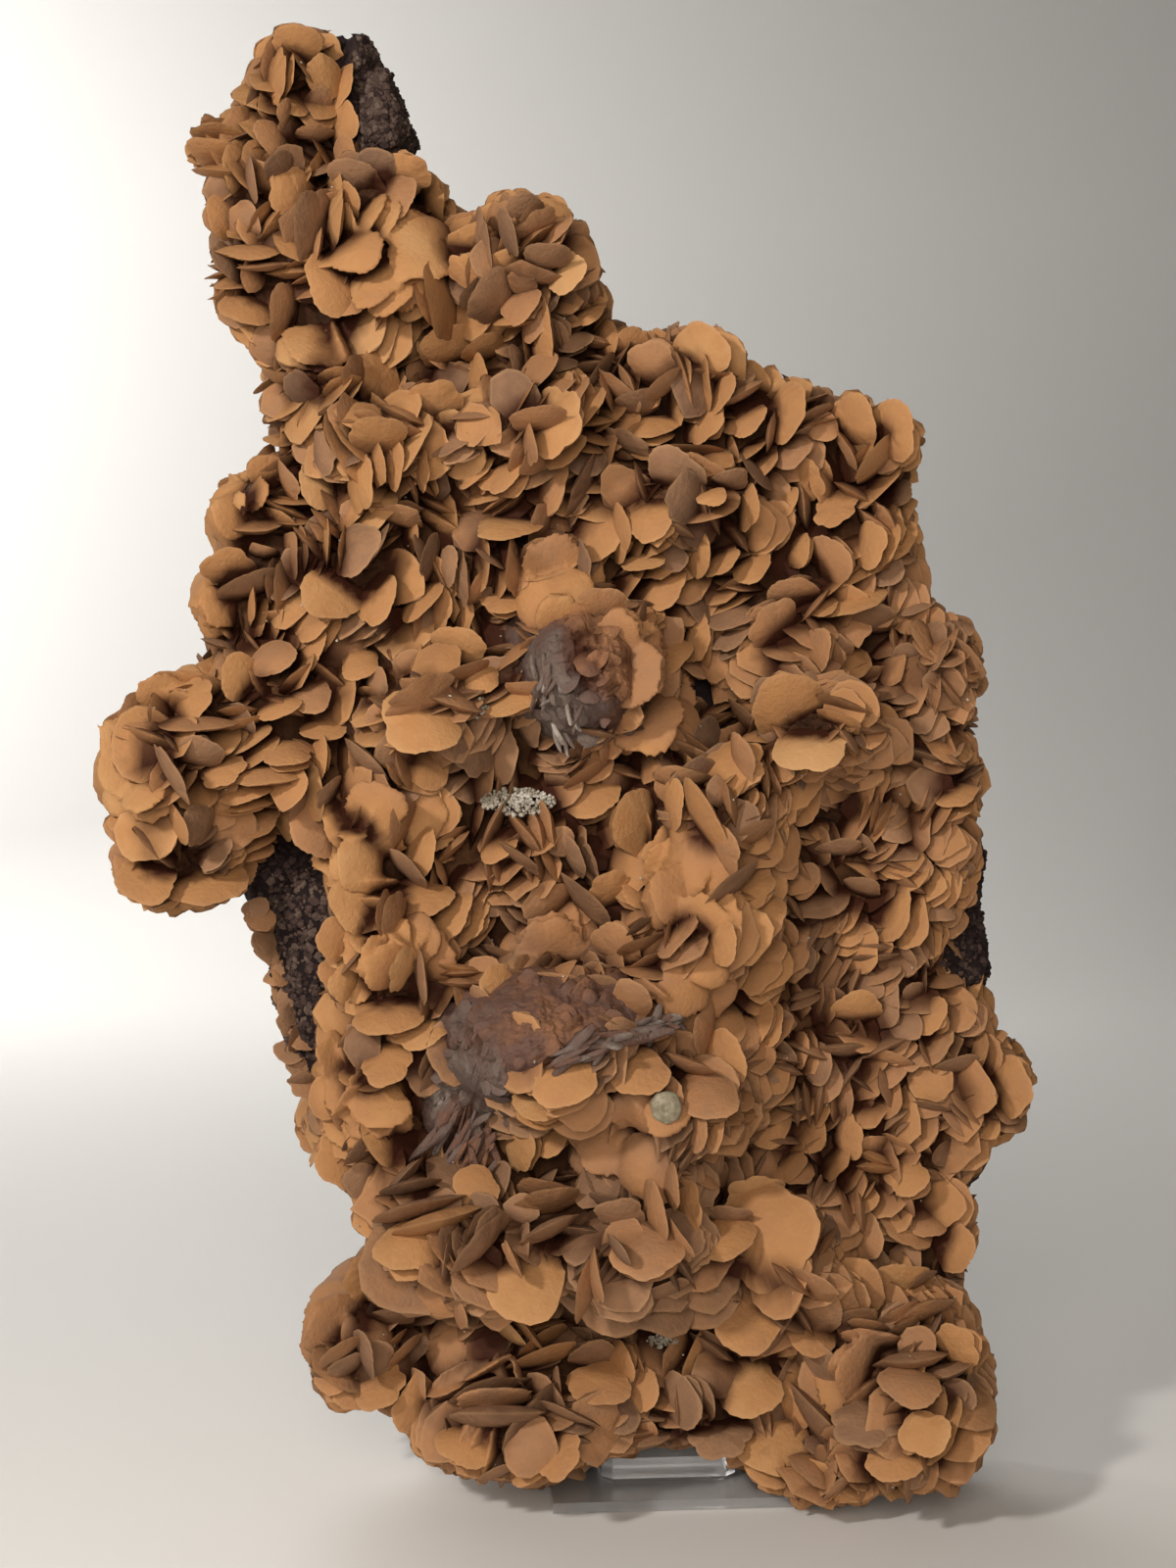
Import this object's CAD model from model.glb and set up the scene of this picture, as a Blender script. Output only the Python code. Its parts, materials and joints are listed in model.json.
# %% [markdown]
# # A siderite specimen on a small clear stand
#
# The object is a tall plate of dark rock. A crust of lens-shaped siderite crystals has grown over
# its front and its sides, in lobes that look like opened roses, and it stands on a clear stand.
# The lesson builds it in this order: the lobes, the crystals that cover them, the rock behind,
# the patches where the crust is broken, the stand, and then the light and the camera.

import json
import math
import random

import bmesh
import bpy
from mathutils import Matrix, Vector, noise
from mathutils.bvhtree import BVHTree

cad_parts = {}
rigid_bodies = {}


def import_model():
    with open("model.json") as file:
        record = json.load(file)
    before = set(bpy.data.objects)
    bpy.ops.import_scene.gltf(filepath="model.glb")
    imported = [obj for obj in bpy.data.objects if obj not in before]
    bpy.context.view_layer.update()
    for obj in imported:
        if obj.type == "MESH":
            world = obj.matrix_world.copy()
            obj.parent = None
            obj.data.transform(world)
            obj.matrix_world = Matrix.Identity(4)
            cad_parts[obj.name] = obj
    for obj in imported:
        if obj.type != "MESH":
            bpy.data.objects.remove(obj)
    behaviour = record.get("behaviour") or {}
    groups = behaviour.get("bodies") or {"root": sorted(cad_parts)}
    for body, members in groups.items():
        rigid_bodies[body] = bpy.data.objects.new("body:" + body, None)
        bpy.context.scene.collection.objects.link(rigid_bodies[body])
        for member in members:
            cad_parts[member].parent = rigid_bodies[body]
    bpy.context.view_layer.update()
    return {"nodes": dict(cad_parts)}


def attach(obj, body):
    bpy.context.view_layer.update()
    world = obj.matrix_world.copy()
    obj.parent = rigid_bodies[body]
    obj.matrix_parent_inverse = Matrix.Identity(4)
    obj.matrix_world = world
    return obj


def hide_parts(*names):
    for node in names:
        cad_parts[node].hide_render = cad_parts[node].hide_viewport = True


for old in list(bpy.data.objects):
    bpy.data.objects.remove(old, do_unlink=True)
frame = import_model()
print("packed pieces:", sorted(frame["nodes"]))

# %% [markdown]
# Everything on the front is placed the way one places things on a table while looking at it: by
# where it shows. A place is (across, down) in steps of a view 1200 steps wide and 1600 high, and
# a depth is in millimetres, forward of the stand's front edge. One helper turns the three into a
# point, by going along the line of sight from the eye. The camera later stands at the same eye.

# %% The front view and the points in it
MM = 0.001
VIEW_STEP = 0.22 * MM
VIEW_DISTANCE = 450 * MM
VIEW_MIDDLE = (600, 800)
VIEW_HEIGHT = 1600
STAND_MIDDLE = 674
FLOOR_LINE = 1541
STAND_DEPTH = 84 * MM
FRONT_EDGE = -STAND_DEPTH / 2
EYE = Vector((
    (VIEW_MIDDLE[0] - STAND_MIDDLE) * VIEW_STEP,
    FRONT_EDGE - VIEW_DISTANCE,
    (FLOOR_LINE - VIEW_MIDDLE[1]) * VIEW_STEP,
))


def sight(across, down, forward):
    """The point at a place of the view, that many mm forward of the stand's front edge."""
    spread = (VIEW_DISTANCE - forward * MM) / VIEW_DISTANCE * VIEW_STEP
    x = EYE.x + (across - VIEW_MIDDLE[0]) * spread
    z = EYE.z - (down - VIEW_MIDDLE[1]) * spread
    return Vector((x, FRONT_EDGE - forward * MM, z))


def seen_at(point):
    """The place of the view where a point shows."""
    spread = (point.y - EYE.y) / VIEW_DISTANCE * VIEW_STEP
    across = VIEW_MIDDLE[0] + (point.x - EYE.x) / spread
    return across, VIEW_MIDDLE[1] - (point.z - EYE.z) / spread


def step_at(point):
    """How long one step of the view is at that point's distance."""
    return (point.y - EYE.y) / VIEW_DISTANCE * VIEW_STEP


print("eye at", [round(value / MM, 1) for value in EYE], "mm")

# %% [markdown]
# The crust bulges in lobes. Each lobe is a squashed ball, given by its place, its half width and
# half height in view steps, how far its front stands forward, and its half depth in millimetres.
# A Remesh modifier melts the balls into one skin, as crystals growing from many centres do.

# %% The lobes of the crust
LOBES = {
    "spur_tip": (310, 107, 52, 71, -4, 26),
    "spur_side": (232, 158, 34, 24, -7, 20),
    "spur_middle": (285, 218, 68, 64, 1, 30),
    "spur_heel": (270, 296, 48, 52, -1, 28),
    "spur_shoulder": (398, 208, 50, 42, -1, 26),
    "neck": (380, 292, 88, 76, 5, 36),
    "neck_right": (465, 300, 62, 62, 3, 34),
    "upper_knob": (542, 291, 66, 77, 13, 40),
    "upper_left": (335, 405, 62, 55, 3, 32),
    "upper_rosette": (405, 465, 88, 60, 17, 40),
    "broad_rosette": (548, 452, 78, 66, 17, 40),
    "left_bud": (266, 525, 38, 44, -1, 24),
    "upper_right": (688, 406, 80, 62, 5, 34),
    "right_shoulder": (788, 450, 70, 58, 1, 30),
    "right_corner": (886, 460, 44, 42, 4, 30),
    "upper_middle": (690, 530, 100, 70, 9, 36),
    "left_cheek": (252, 612, 44, 46, -3, 26),
    "middle_left": (375, 590, 105, 72, 5, 34),
    "centre_upper": (530, 585, 90, 62, 7, 36),
    "right_flank": (862, 560, 72, 76, -4, 26),
    "scarred_knob": (602, 690, 78, 80, 25, 44),
    "right_bay": (790, 650, 74, 72, -3, 28),
    "cabbage": (825, 745, 74, 56, 16, 38),
    "right_knuckle": (948, 682, 46, 60, -2, 26),
    "right_rim": (948, 795, 48, 74, -6, 24),
    "wing_root": (290, 705, 78, 52, 5, 32),
    "wing_bridge": (306, 782, 54, 52, 6, 30),
    "wing": (192, 783, 76, 92, 17, 38),
    "wing_toe": (190, 880, 66, 44, 10, 32),
    "lens_knob": (448, 728, 76, 60, 15, 38),
    "left_middle": (388, 842, 62, 84, 7, 34),
    "middle_hollow": (545, 860, 95, 90, 0, 30),
    "ridge_top": (722, 832, 74, 82, 17, 40),
    "ridge": (702, 940, 84, 76, 19, 42),
    "left_band": (402, 962, 74, 82, 11, 36),
    "right_field_high": (890, 885, 106, 112, -9, 24),
    "scarred_shelf": (575, 1050, 128, 84, 33, 52),
    "shelf_right": (692, 1108, 76, 66, 27, 46),
    "left_lower_band": (392, 1082, 62, 76, 7, 34),
    "left_ear": (352, 1142, 38, 56, -8, 22),
    "lower_left": (432, 1192, 70, 62, 9, 36),
    "right_field": (892, 1042, 108, 100, -8, 26),
    "right_horn": (985, 1102, 60, 60, -6, 24),
    "right_field_low": (885, 1192, 98, 92, -8, 26),
    "right_heel": (955, 1248, 34, 50, -11, 22),
    "skirt_left": (500, 1250, 118, 62, 27, 46),
    "skirt_right": (640, 1240, 92, 76, 31, 50),
    "big_plate_root": (785, 1275, 68, 82, 17, 40),
    "foot_left": (374, 1353, 52, 60, 15, 38),
    "foot_middle": (532, 1416, 122, 70, 22, 42),
    "foot_hollow": (702, 1402, 86, 70, 7, 32),
    "foot_right": (915, 1402, 88, 98, 28, 44),
    "foot_low": (845, 1472, 90, 38, 17, 32),
    "core_high": (545, 560, 285, 225, -4, 36),
    "core_low": (665, 1000, 285, 340, -6, 34),
    "core_foot": (655, 1365, 260, 104, -1, 32),
}
ROCK_LOBES = {
    "spur_rock": (345, 118, 50, 80, -17, 20),
    "spur_ridge_high": (366, 62, 17, 30, -9, 12),
    "spur_ridge_low": (396, 124, 24, 44, -9, 13),
    "neck_rock": (405, 334, 118, 100, -16, 24),
    "high_rock": (588, 550, 318, 205, -14, 24),
    "middle_rock": (660, 850, 340, 260, -16, 24),
    "pit_rock": (346, 950, 65, 142, -15, 20),
    "pit_rock_high": (300, 880, 56, 72, -23, 17),
    "edge_rock": (950, 950, 52, 100, -19, 18),
    "low_rock": (680, 1130, 325, 250, -16, 25),
    "foot_rock": (655, 1350, 300, 112, -14, 25),
}
BED_VOXEL = 2.4 * MM
CLEFT_FILL = 6 * MM
CLEFT_ROUNDING = 6
CRUST_GROWTH = 0.4 * MM
ROCK_VOXEL = 2.2 * MM
SEAM_FORWARD = -27


def ellipsoid(lobe):
    """A lobe's middle and its three half axes, in metres."""
    across, down, half_width, half_height, front, half_depth = lobe
    middle = sight(across, down, front - half_depth)
    step = step_at(middle)
    return middle, (half_width * step, half_depth * MM, half_height * step)


def object_of(name, bm):
    """Makes a mesh object in the scene from a bmesh."""
    mesh = bpy.data.meshes.new(name)
    bm.to_mesh(mesh)
    bm.free()
    made = bpy.data.objects.new(name, mesh)
    bpy.context.scene.collection.objects.link(made)
    return made


def settle(made):
    """Replaces an object's mesh by what its modifiers make of it."""
    graph = bpy.context.evaluated_depsgraph_get()
    mesh = bpy.data.meshes.new_from_object(made.evaluated_get(graph))
    made.modifiers.clear()
    made.data = mesh
    return made


def grown_together(name, lobes, voxel, swell=0.0, shrink=0.0):
    """The lobes melted into one skin. Swelling and then shrinking it fills the clefts between."""
    bm = bmesh.new()
    for lobe in lobes.values():
        middle, axes = ellipsoid(lobe)
        fat = [axis + swell for axis in axes]
        place = Matrix.Translation(middle) @ Matrix.Diagonal((*fat, 1))
        bmesh.ops.create_icosphere(bm, subdivisions=4, radius=1, matrix=place)
    made = object_of(name, bm)
    skin = made.modifiers.new("Melted together", "REMESH")
    skin.mode = "VOXEL"
    skin.voxel_size = voxel
    if not swell:
        return settle(made)
    rounded = made.modifiers.new("Rounded clefts", "SMOOTH")
    rounded.factor = 0.5
    rounded.iterations = CLEFT_ROUNDING
    settle(made)
    roughened(made, shrink, ())
    again = made.modifiers.new("Even skin", "REMESH")
    again.mode = "VOXEL"
    again.voxel_size = voxel
    return settle(made)


def roughened(made, sink, reliefs):
    """Moves each corner along its normal by noise of several sizes: (cell, height) pairs."""
    normals = [corner.vector.copy() for corner in made.data.vertex_normals]
    for vertex, normal in zip(made.data.vertices, normals):
        push = -sink
        for cell, height in reliefs:
            push += height * noise.noise(vertex.co / cell)
        vertex.co += normal * push
    made.data.update()


bed = grown_together("crust_bed", LOBES, BED_VOXEL, CLEFT_FILL, CLEFT_FILL - CRUST_GROWTH)
print("crust bed:", len(bed.data.polygons), "faces")

# %% [markdown]
# The bed lies under the crystals and shows only in the dark chinks between them. It is drawn in
# by a few millimetres and roughened with noise, so that no smooth skin shows in a gap. Behind a
# seam the rock carries the crust, so there the bed is pressed flat and the rock covers it. The
# skin as it was before is kept in a search tree: everything on the front is set upon that one.

# %% Roughen the bed
BED_SINK = 5.0 * MM
BED_RELIEF = 1.8 * MM
BED_CELL = 5 * MM
SEAM_RELIEF = 3 * MM
SEAM_CELL = 22 * MM


def cut_at_seam(made):
    """Presses what lies behind the seam onto it: from there on, the rock carries the crust."""
    for vertex in made.data.vertices:
        seam = FRONT_EDGE - SEAM_FORWARD * MM + SEAM_RELIEF * noise.noise(vertex.co / SEAM_CELL)
        vertex.co.y = min(vertex.co.y, seam)
    made.data.update()


lobe_skin = BVHTree.FromObject(bed, bpy.context.evaluated_depsgraph_get())
skin_faces = [(f.center.copy(), f.normal.copy(), f.area) for f in bed.data.polygons]
roughened(bed, BED_SINK, ((BED_CELL, BED_RELIEF), (BED_CELL / 2, BED_RELIEF / 2)))
cut_at_seam(bed)
print("the bed's skin covers", round(sum(f[2] for f in skin_faces) * 1e6 / 100), "square cm")

# %% [markdown]
# A siderite crystal is a lens: round, thickest in the middle, with a sharp and slightly scalloped
# rim. Thousands of them are needed, so a family of small shapes of a few dozen faces each is made
# once and repeated. A second family has finer rims, for the crystals that stand out. Each shape
# has its own scallops, its own oval and its own gentle twist. The attribute "reach" runs from 0
# in the middle to 1 at the rim, and the finish reads it later.

# %% The shapes that are repeated
SMALL_SHAPES = 24
RIM_POINTS = 22
RING_REACH = 0.6
LARGE_SHAPES = 14
FINE_RIM_POINTS = 44
FINE_RINGS = (0.35, 0.7)
SHOWN_SHARE = 0.8
SHOWN_ANGLE = math.radians(112)


def rim_angles(points):
    """Angles round the rim: close together on the raised side, at angle 0, and wide apart behind."""
    shown = round(points * SHOWN_SHARE)
    angles = [SHOWN_ANGLE * (2 * number / (shown - 1) - 1) for number in range(shown)]
    hidden = points - shown
    rest = math.tau - 2 * SHOWN_ANGLE
    return angles + [SHOWN_ANGLE + rest * (n + 1) / (hidden + 1) for n in range(hidden)]


def rim_reach(draw, angles, cut_choice):
    """How far the rim reaches at each angle: an oval with shallow bites and straight cuts."""
    bites = draw.choice((3, 4, 5, 6))
    depth = draw.uniform(0.02, 0.08)
    oval = draw.uniform(0.0, 0.2)
    point = draw.choice((0, 0, 0.07, 0.14))
    phase, lean, aim = draw.uniform(0, math.tau), draw.uniform(0, math.tau), draw.gauss(0, 0.6)
    cuts = [(draw.uniform(-1.9, 1.9), draw.uniform(0.6, 0.9)) for _ in range(draw.choice(cut_choice))]
    reach = []
    for angle in angles:
        bite = abs(math.sin(bites * (angle + phase) / 2))
        far = 1 - depth * (1 - bite) * 2 - oval * math.cos(angle + lean) ** 2
        far += point * max(0, math.cos(angle - aim)) ** 6
        for way, short in cuts:
            far = min(far, short / max(0.2, math.cos(angle - way)))
        reach.append(far + draw.uniform(-0.025, 0.025))
    return reach


def crystal_shape(name, seed, points=RIM_POINTS, rings=(RING_REACH,), squeeze=1.0, cuts=(0, 1, 1, 2)):
    """A lens of radius 1 and half thickness 1, scaled later to the crystal's own size."""
    draw = random.Random(seed)
    angles = rim_angles(points)
    reach = rim_reach(draw, angles, cuts)
    twist = draw.uniform(-0.6, 0.6)
    bend = draw.uniform(-0.8, 0.8)
    bm = bmesh.new()
    rim = []
    for angle, far in zip(angles, reach):
        rim.append(bm.verts.new((far * math.cos(angle), far * math.sin(angle), 0)))
    for side in (1, -1):
        inner = [bm.verts.new((draw.uniform(-0.08, 0.08), draw.uniform(-0.08, 0.08), side))]
        loops = []
        for share in rings:
            count = points // 2 if len(rings) == 1 else points
            height = side * (1 - share ** 2) ** 0.8 * draw.uniform(0.95, 1.05)
            loop = []
            for number in range(count):
                angle = angles[number * points // count]
                far = share * reach[number * points // count] * draw.uniform(0.96, 1.04)
                loop.append(bm.verts.new((far * math.cos(angle), far * math.sin(angle), height)))
            loops.append(loop)
        loops.append(rim)
        fan(bm, inner, loops[0], side)
        for near, far in zip(loops, loops[1:]):
            band(bm, near, far, side)
    for vertex in bm.verts:
        x, y = vertex.co.x, vertex.co.y
        vertex.co.z += twist * x * y * 1.6 + bend * (x * x - 0.3)
        vertex.co.y *= squeeze
    mesh = bpy.data.meshes.new(name)
    for face in bm.faces:
        face.smooth = True
    edge = set(rim)
    for line in bm.edges:
        line.smooth = not (line.verts[0] in edge and line.verts[1] in edge)
    bmesh.ops.recalc_face_normals(bm, faces=bm.faces[:])
    bm.verts.index_update()
    far_out = [1.0 if v in edge else min(0.8, v.co.xy.length) for v in bm.verts]
    bm.to_mesh(mesh)
    bm.free()
    mesh.attributes.new("reach", "FLOAT", "POINT").data.foreach_set("value", far_out)
    return bpy.data.objects.new(name, mesh)


def fan(bm, inner, loop, side):
    """Triangles from one middle point to a loop round it."""
    for number, corner in enumerate(loop):
        after = loop[(number + 1) % len(loop)]
        bm.faces.new((inner[0], corner, after) if side > 0 else (inner[0], after, corner))


def band(bm, near, far, side):
    """Faces between a loop and the next one out, which has as many points or twice as many."""
    ratio = len(far) // len(near)
    for number, corner in enumerate(near):
        after = near[(number + 1) % len(near)]
        outer = [far[(number * ratio + k) % len(far)] for k in range(ratio + 1)]
        corners = [corner, *outer, after]
        bm.faces.new(corners if side > 0 else corners[::-1])


def shape_family(name, count, **how):
    """A collection of shapes for a Geometry Nodes tree to pick from. It is never shown itself."""
    family = bpy.data.collections.new(name)
    for number in range(count):
        family.objects.link(crystal_shape(f"{name}_{number:02d}", 100 + number, **how))
    return family


small_shapes = shape_family("small_crystal", SMALL_SHAPES)
large_shapes = shape_family("large_crystal", LARGE_SHAPES, points=FINE_RIM_POINTS, rings=FINE_RINGS,
                            cuts=(0, 0, 1))

# %% [markdown]
# A few hundred crystals stand out on the front, by their size or by how they catch the light.
# Those are set by hand, region by region. Each has a place, a radius in steps, the direction in
# which its raised edge points (degrees, anticlockwise from the right), how far it leans away from
# facing the viewer, how far its middle stands off the lobe in millimetres, and a stain, which is
# a place on the ramp of siderite colours. A lean near 80 shows it edge-on, as a blade.

# %% Crystals that are set by hand
TAN, GOLD, PINK, GREY, PALE, DARK = 0.35, 0.22, 0.55, 0.78, 0.02, 0.95
STANDOUT = {
    "spur": (
        (300, 44, 34, 90, 55, 1.0, TAN), (344, 54, 26, 60, 44, 5.0, GOLD),
        (350, 90, 28, -20, 36, 5.5, TAN), (352, 132, 26, 5, 40, 5.5, TAN),
        (354, 162, 24, 20, 44, 5.0, PINK),
        (282, 76, 32, -8, 48, 2.0, TAN), (330, 76, 26, 170, 40, 1.5, GOLD),
        (222, 138, 30, 90, 76, 2.5, TAN), (222, 157, 32, 90, 80, 3.0, TAN),
        (224, 174, 32, -90, 74, 2.5, TAN), (278, 142, 26, 200, 34, 2.0, PINK),
        (292, 118, 16, 170, 74, 3.0, PINK), (322, 138, 22, 100, 72, 3.0, PINK),
        (345, 118, 22, -10, 55, 2.0, TAN), (256, 184, 28, 10, 76, 2.5, GREY),
        (286, 172, 24, 135, 74, 3.0, DARK), (300, 200, 36, 180, 32, 1.5, TAN),
        (320, 230, 48, 166, 68, 4.0, GREY), (342, 224, 36, -5, 58, 3.0, GOLD),
        (358, 206, 22, 30, 52, 2.5, TAN), (228, 218, 28, 180, 36, 1.0, TAN),
        (255, 256, 42, -90, 72, 2.0, TAN), (272, 268, 40, -90, 74, 2.0, PINK),
        (254, 312, 38, 240, 34, 1.0, TAN), (291, 316, 38, 159, 72, 3.0, PINK),
    ),
    "neck": (
        (360, 180, 30, 90, 52, 2.0, GREY), (400, 204, 34, -40, 24, 2.5, PINK),
        (412, 176, 32, 80, 44, 1.5, TAN), (442, 198, 32, 15, 48, 2.0, TAN),
        (366, 258, 38, -40, 20, 3.0, TAN),
        (338, 290, 38, 205, 22, 2.0, TAN), (386, 284, 46, -60, 16, 2.5, PINK),
        (432, 250, 54, -130, 22, 2.5, GOLD), (451, 303, 50, 178, 68, 5.0, TAN),
        (476, 278, 24, 60, 44, 3.0, TAN), (320, 350, 40, -100, 28, 2.0, TAN),
        (384, 388, 38, 180, 40, 2.0, TAN), (362, 384, 26, 170, 74, 4.0, PINK),
    ),
    "upper_knob": (
        (490, 240, 42, 15, 72, 4.0, GREY), (507, 216, 38, 8, 54, 2.5, PINK),
        (519, 240, 28, 25, 76, 5.0, DARK), (535, 212, 22, 100, 40, 2.0, GREY),
        (562, 205, 20, 70, 44, 2.0, TAN), (548, 230, 26, 115, 70, 3.0, PINK),
        (568, 236, 22, -40, 48, 3.0, PINK), (560, 264, 28, 90, 66, 4.0, GREY),
        (577, 281, 26, -20, 34, 4.0, PALE), (608, 306, 26, -55, 58, 3.0, TAN),
        (600, 322, 28, -60, 62, 3.0, TAN), (505, 304, 44, 132, 70, 5.0, GREY),
        (532, 310, 32, -45, 42, 3.0, PINK), (466, 351, 48, 115, 74, 4.0, TAN),
        (497, 356, 30, 112, 66, 4.0, TAN), (552, 345, 46, 2, 74, 5.0, TAN),
        (584, 348, 24, -80, 38, 2.0, GREY), (574, 372, 22, -90, 46, 2.0, GREY),
        (486, 386, 28, 5, 56, 3.0, TAN), (525, 330, 28, -85, 72, 4.0, TAN),
    ),
    "upper_rosettes": (
        (440, 414, 38, 100, 34, 3.0, TAN), (562, 432, 46, -15, 24, 3.5, GOLD),
        (240, 526, 36, 180, 28, 1.0, TAN), (246, 512, 14, 0, 22, 3.0, PINK),
        (272, 482, 24, 130, 30, 1.5, TAN), (294, 492, 26, 28, 72, 3.0, PINK),
        (326, 496, 30, 205, 32, 3.0, PALE), (330, 462, 26, 20, 44, 2.5, GREY),
        (366, 487, 42, 2, 62, 4.0, TAN), (386, 474, 34, 5, 70, 3.5, TAN),
        (402, 476, 30, 8, 68, 3.5, TAN), (385, 444, 38, 90, 58, 2.5, TAN),
        (431, 480, 28, 5, 64, 3.5, TAN), (462, 450, 30, -60, 36, 3.0, GREY),
        (486, 480, 28, -48, 50, 3.5, TAN), (516, 484, 34, -52, 50, 4.0, TAN),
        (552, 431, 36, 90, 72, 6.5, PINK), (541, 455, 28, 8, 76, 6.0, PINK),
        (576, 462, 26, -40, 40, 3.0, GOLD), (597, 494, 42, 150, 72, 4.0, DARK),
        (410, 528, 32, 80, 76, 3.0, PINK), (515, 538, 42, -90, 56, 4.0, GOLD),
    ),
    "left_of_middle": (
        (362, 562, 34, -30, 34, 3.0, GREY), (382, 560, 32, -28, 76, 3.0, DARK),
        (440, 568, 28, 158, 72, 3.0, DARK), (458, 578, 24, 0, 56, 3.0, GREY),
        (472, 592, 32, 2, 72, 3.5, GREY), (430, 612, 36, -42, 56, 4.0, TAN),
        (449, 620, 30, 0, 64, 3.0, TAN), (384, 612, 34, -32, 32, 3.5, TAN),
        (340, 604, 38, 205, 24, 2.5, GOLD), (255, 598, 42, 110, 72, 3.0, GREY),
        (232, 580, 32, 100, 40, 1.5, TAN), (224, 618, 30, 185, 30, 1.0, TAN),
        (257, 618, 24, 0, 70, 2.0, TAN), (320, 632, 32, -42, 36, 2.5, TAN),
        (316, 664, 30, -30, 42, 2.5, TAN), (279, 672, 30, -60, 24, 3.0, PINK),
        (318, 710, 27, -92, 32, 3.0, PINK), (244, 690, 28, 170, 26, 2.0, GOLD),
        (368, 678, 26, -90, 32, 3.0, TAN), (470, 664, 36, 70, 32, 3.5, GOLD),
        (566, 578, 42, 120, 20, 3.0, TAN), (592, 578, 28, 0, 70, 6.0, DARK),
        (515, 612, 32, -90, 48, 2.0, TAN),
    ),
    "middle": (
        (634, 648, 34, 80, 30, 2.5, GOLD), (648, 690, 40, -10, 22, 2.5, GOLD),
        (612, 622, 34, 100, 36, 2.0, PINK), (570, 628, 30, 120, 34, 2.0, TAN),
        (474, 688, 32, 112, 74, 6.0, PINK), (430, 712, 46, 113, 66, 7.0, PINK),
        (430, 736, 48, -100, 22, 3.5, GOLD), (492, 694, 24, -90, 34, 3.5, GOLD),
        (486, 764, 36, 170, 44, 4.5, DARK), (511, 770, 34, 5, 40, 3.5, GREY),
        (520, 716, 30, -62, 50, 4.0, GOLD), (374, 776, 38, 45, 74, 4.0, GREY),
        (662, 738, 46, -55, 28, 3.5, PALE), (598, 806, 44, -82, 34, 3.0, TAN),
        (598, 791, 28, 120, 74, 6.0, PINK), (655, 840, 46, 180, 42, 3.0, GOLD),
        (687, 820, 30, 0, 58, 4.0, TAN), (718, 834, 50, 25, 74, 5.0, TAN),
        (736, 862, 38, 20, 70, 5.0, PINK), (748, 782, 40, -60, 32, 3.0, TAN),
        (756, 776, 32, 15, 72, 6.0, PINK), (768, 850, 30, 120, 66, 4.0, PINK),
    ),
    "upper_right": (
        (648, 345, 28, 110, 34, 2.0, TAN), (716, 360, 36, 30, 26, 2.5, GOLD),
        (666, 372, 30, 60, 30, 2.0, PINK), (770, 380, 24, 30, 44, 2.0, TAN),
        (677, 394, 26, 130, 70, 4.0, PINK), (650, 411, 32, 95, 74, 3.5, GREY),
        (803, 420, 36, -10, 42, 2.5, TAN), (760, 428, 28, -50, 38, 2.5, TAN),
        (717, 430, 32, -20, 42, 2.5, TAN), (735, 400, 28, -18, 62, 2.5, TAN),
        (665, 434, 34, -80, 58, 3.0, TAN), (690, 480, 36, 65, 44, 3.5, GREY),
        (640, 452, 30, 60, 70, 3.0, GREY), (847, 410, 14, 60, 40, 1.5, DARK),
        (872, 432, 34, 25, 60, 3.0, TAN), (912, 438, 36, 20, 34, 2.0, TAN),
        (894, 470, 38, 135, 66, 4.0, TAN), (922, 500, 24, -60, 44, 1.0, GREY),
        (852, 520, 28, -60, 28, 3.0, TAN), (818, 484, 34, 30, 62, 3.0, TAN),
        (763, 518, 28, 0, 64, 2.5, TAN), (798, 514, 24, -30, 50, 2.5, TAN),
        (726, 509, 18, -70, 32, 4.0, GOLD), (744, 490, 26, 90, 72, 3.0, GREY),
        (662, 532, 34, -48, 34, 4.0, TAN), (632, 545, 34, 8, 68, 4.0, TAN),
        (602, 545, 38, -30, 26, 2.5, TAN), (735, 572, 28, -50, 54, 3.0, TAN),
        (767, 578, 26, -60, 36, 3.0, TAN), (655, 572, 26, -70, 58, 3.0, GOLD),
        (672, 600, 34, -62, 38, 3.0, TAN), (814, 562, 26, -20, 54, 2.5, TAN),
        (848, 572, 32, 25, 48, 3.0, PINK), (887, 557, 28, -10, 46, 3.0, TAN),
        (905, 558, 28, -12, 66, 2.5, TAN), (868, 614, 26, 60, 38, 2.5, TAN),
        (885, 632, 40, 76, 64, 4.0, GREY), (833, 664, 26, 0, 54, 4.0, PINK),
        (708, 655, 34, -10, 58, 3.0, TAN), (745, 630, 28, -62, 60, 3.0, GREY),
        (748, 650, 28, -62, 60, 3.0, GREY), (684, 668, 28, -60, 38, 3.0, TAN),
        (806, 722, 50, 95, 44, 3.0, TAN), (826, 762, 44, -70, 40, 5.0, PALE),
        (790, 640, 34, 120, 30, 1.0, PINK), (810, 606, 30, 90, 40, 2.0, PINK),
    ),
    "wing": (
        (122, 790, 38, 190, 26, 2.5, TAN), (146, 812, 28, -60, 30, 3.0, TAN),
        (128, 838, 26, -110, 42, 1.5, TAN), (166, 706, 36, 130, 32, 2.0, TAN),
        (134, 720, 26, 160, 40, 1.5, PINK), (198, 712, 28, -55, 28, 2.5, TAN),
        (200, 738, 44, -90, 72, 4.0, PINK), (178, 790, 42, 28, 70, 6.0, GREY),
        (205, 768, 28, 100, 34, 2.5, GREY), (228, 786, 28, -80, 40, 2.5, TAN),
        (250, 806, 36, -82, 64, 2.5, TAN), (246, 821, 36, -82, 64, 3.0, TAN),
        (254, 838, 36, -78, 60, 2.5, TAN), (252, 860, 34, -78, 60, 2.5, TAN),
        (203, 842, 30, 170, 70, 4.0, GREY), (182, 840, 28, 20, 60, 4.0, TAN),
        (217, 872, 26, -60, 40, 2.5, GREY), (148, 896, 34, -110, 32, 1.5, TAN),
        (205, 902, 50, -90, 52, 1.5, TAN), (292, 768, 32, -90, 56, 3.0, TAN),
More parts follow.
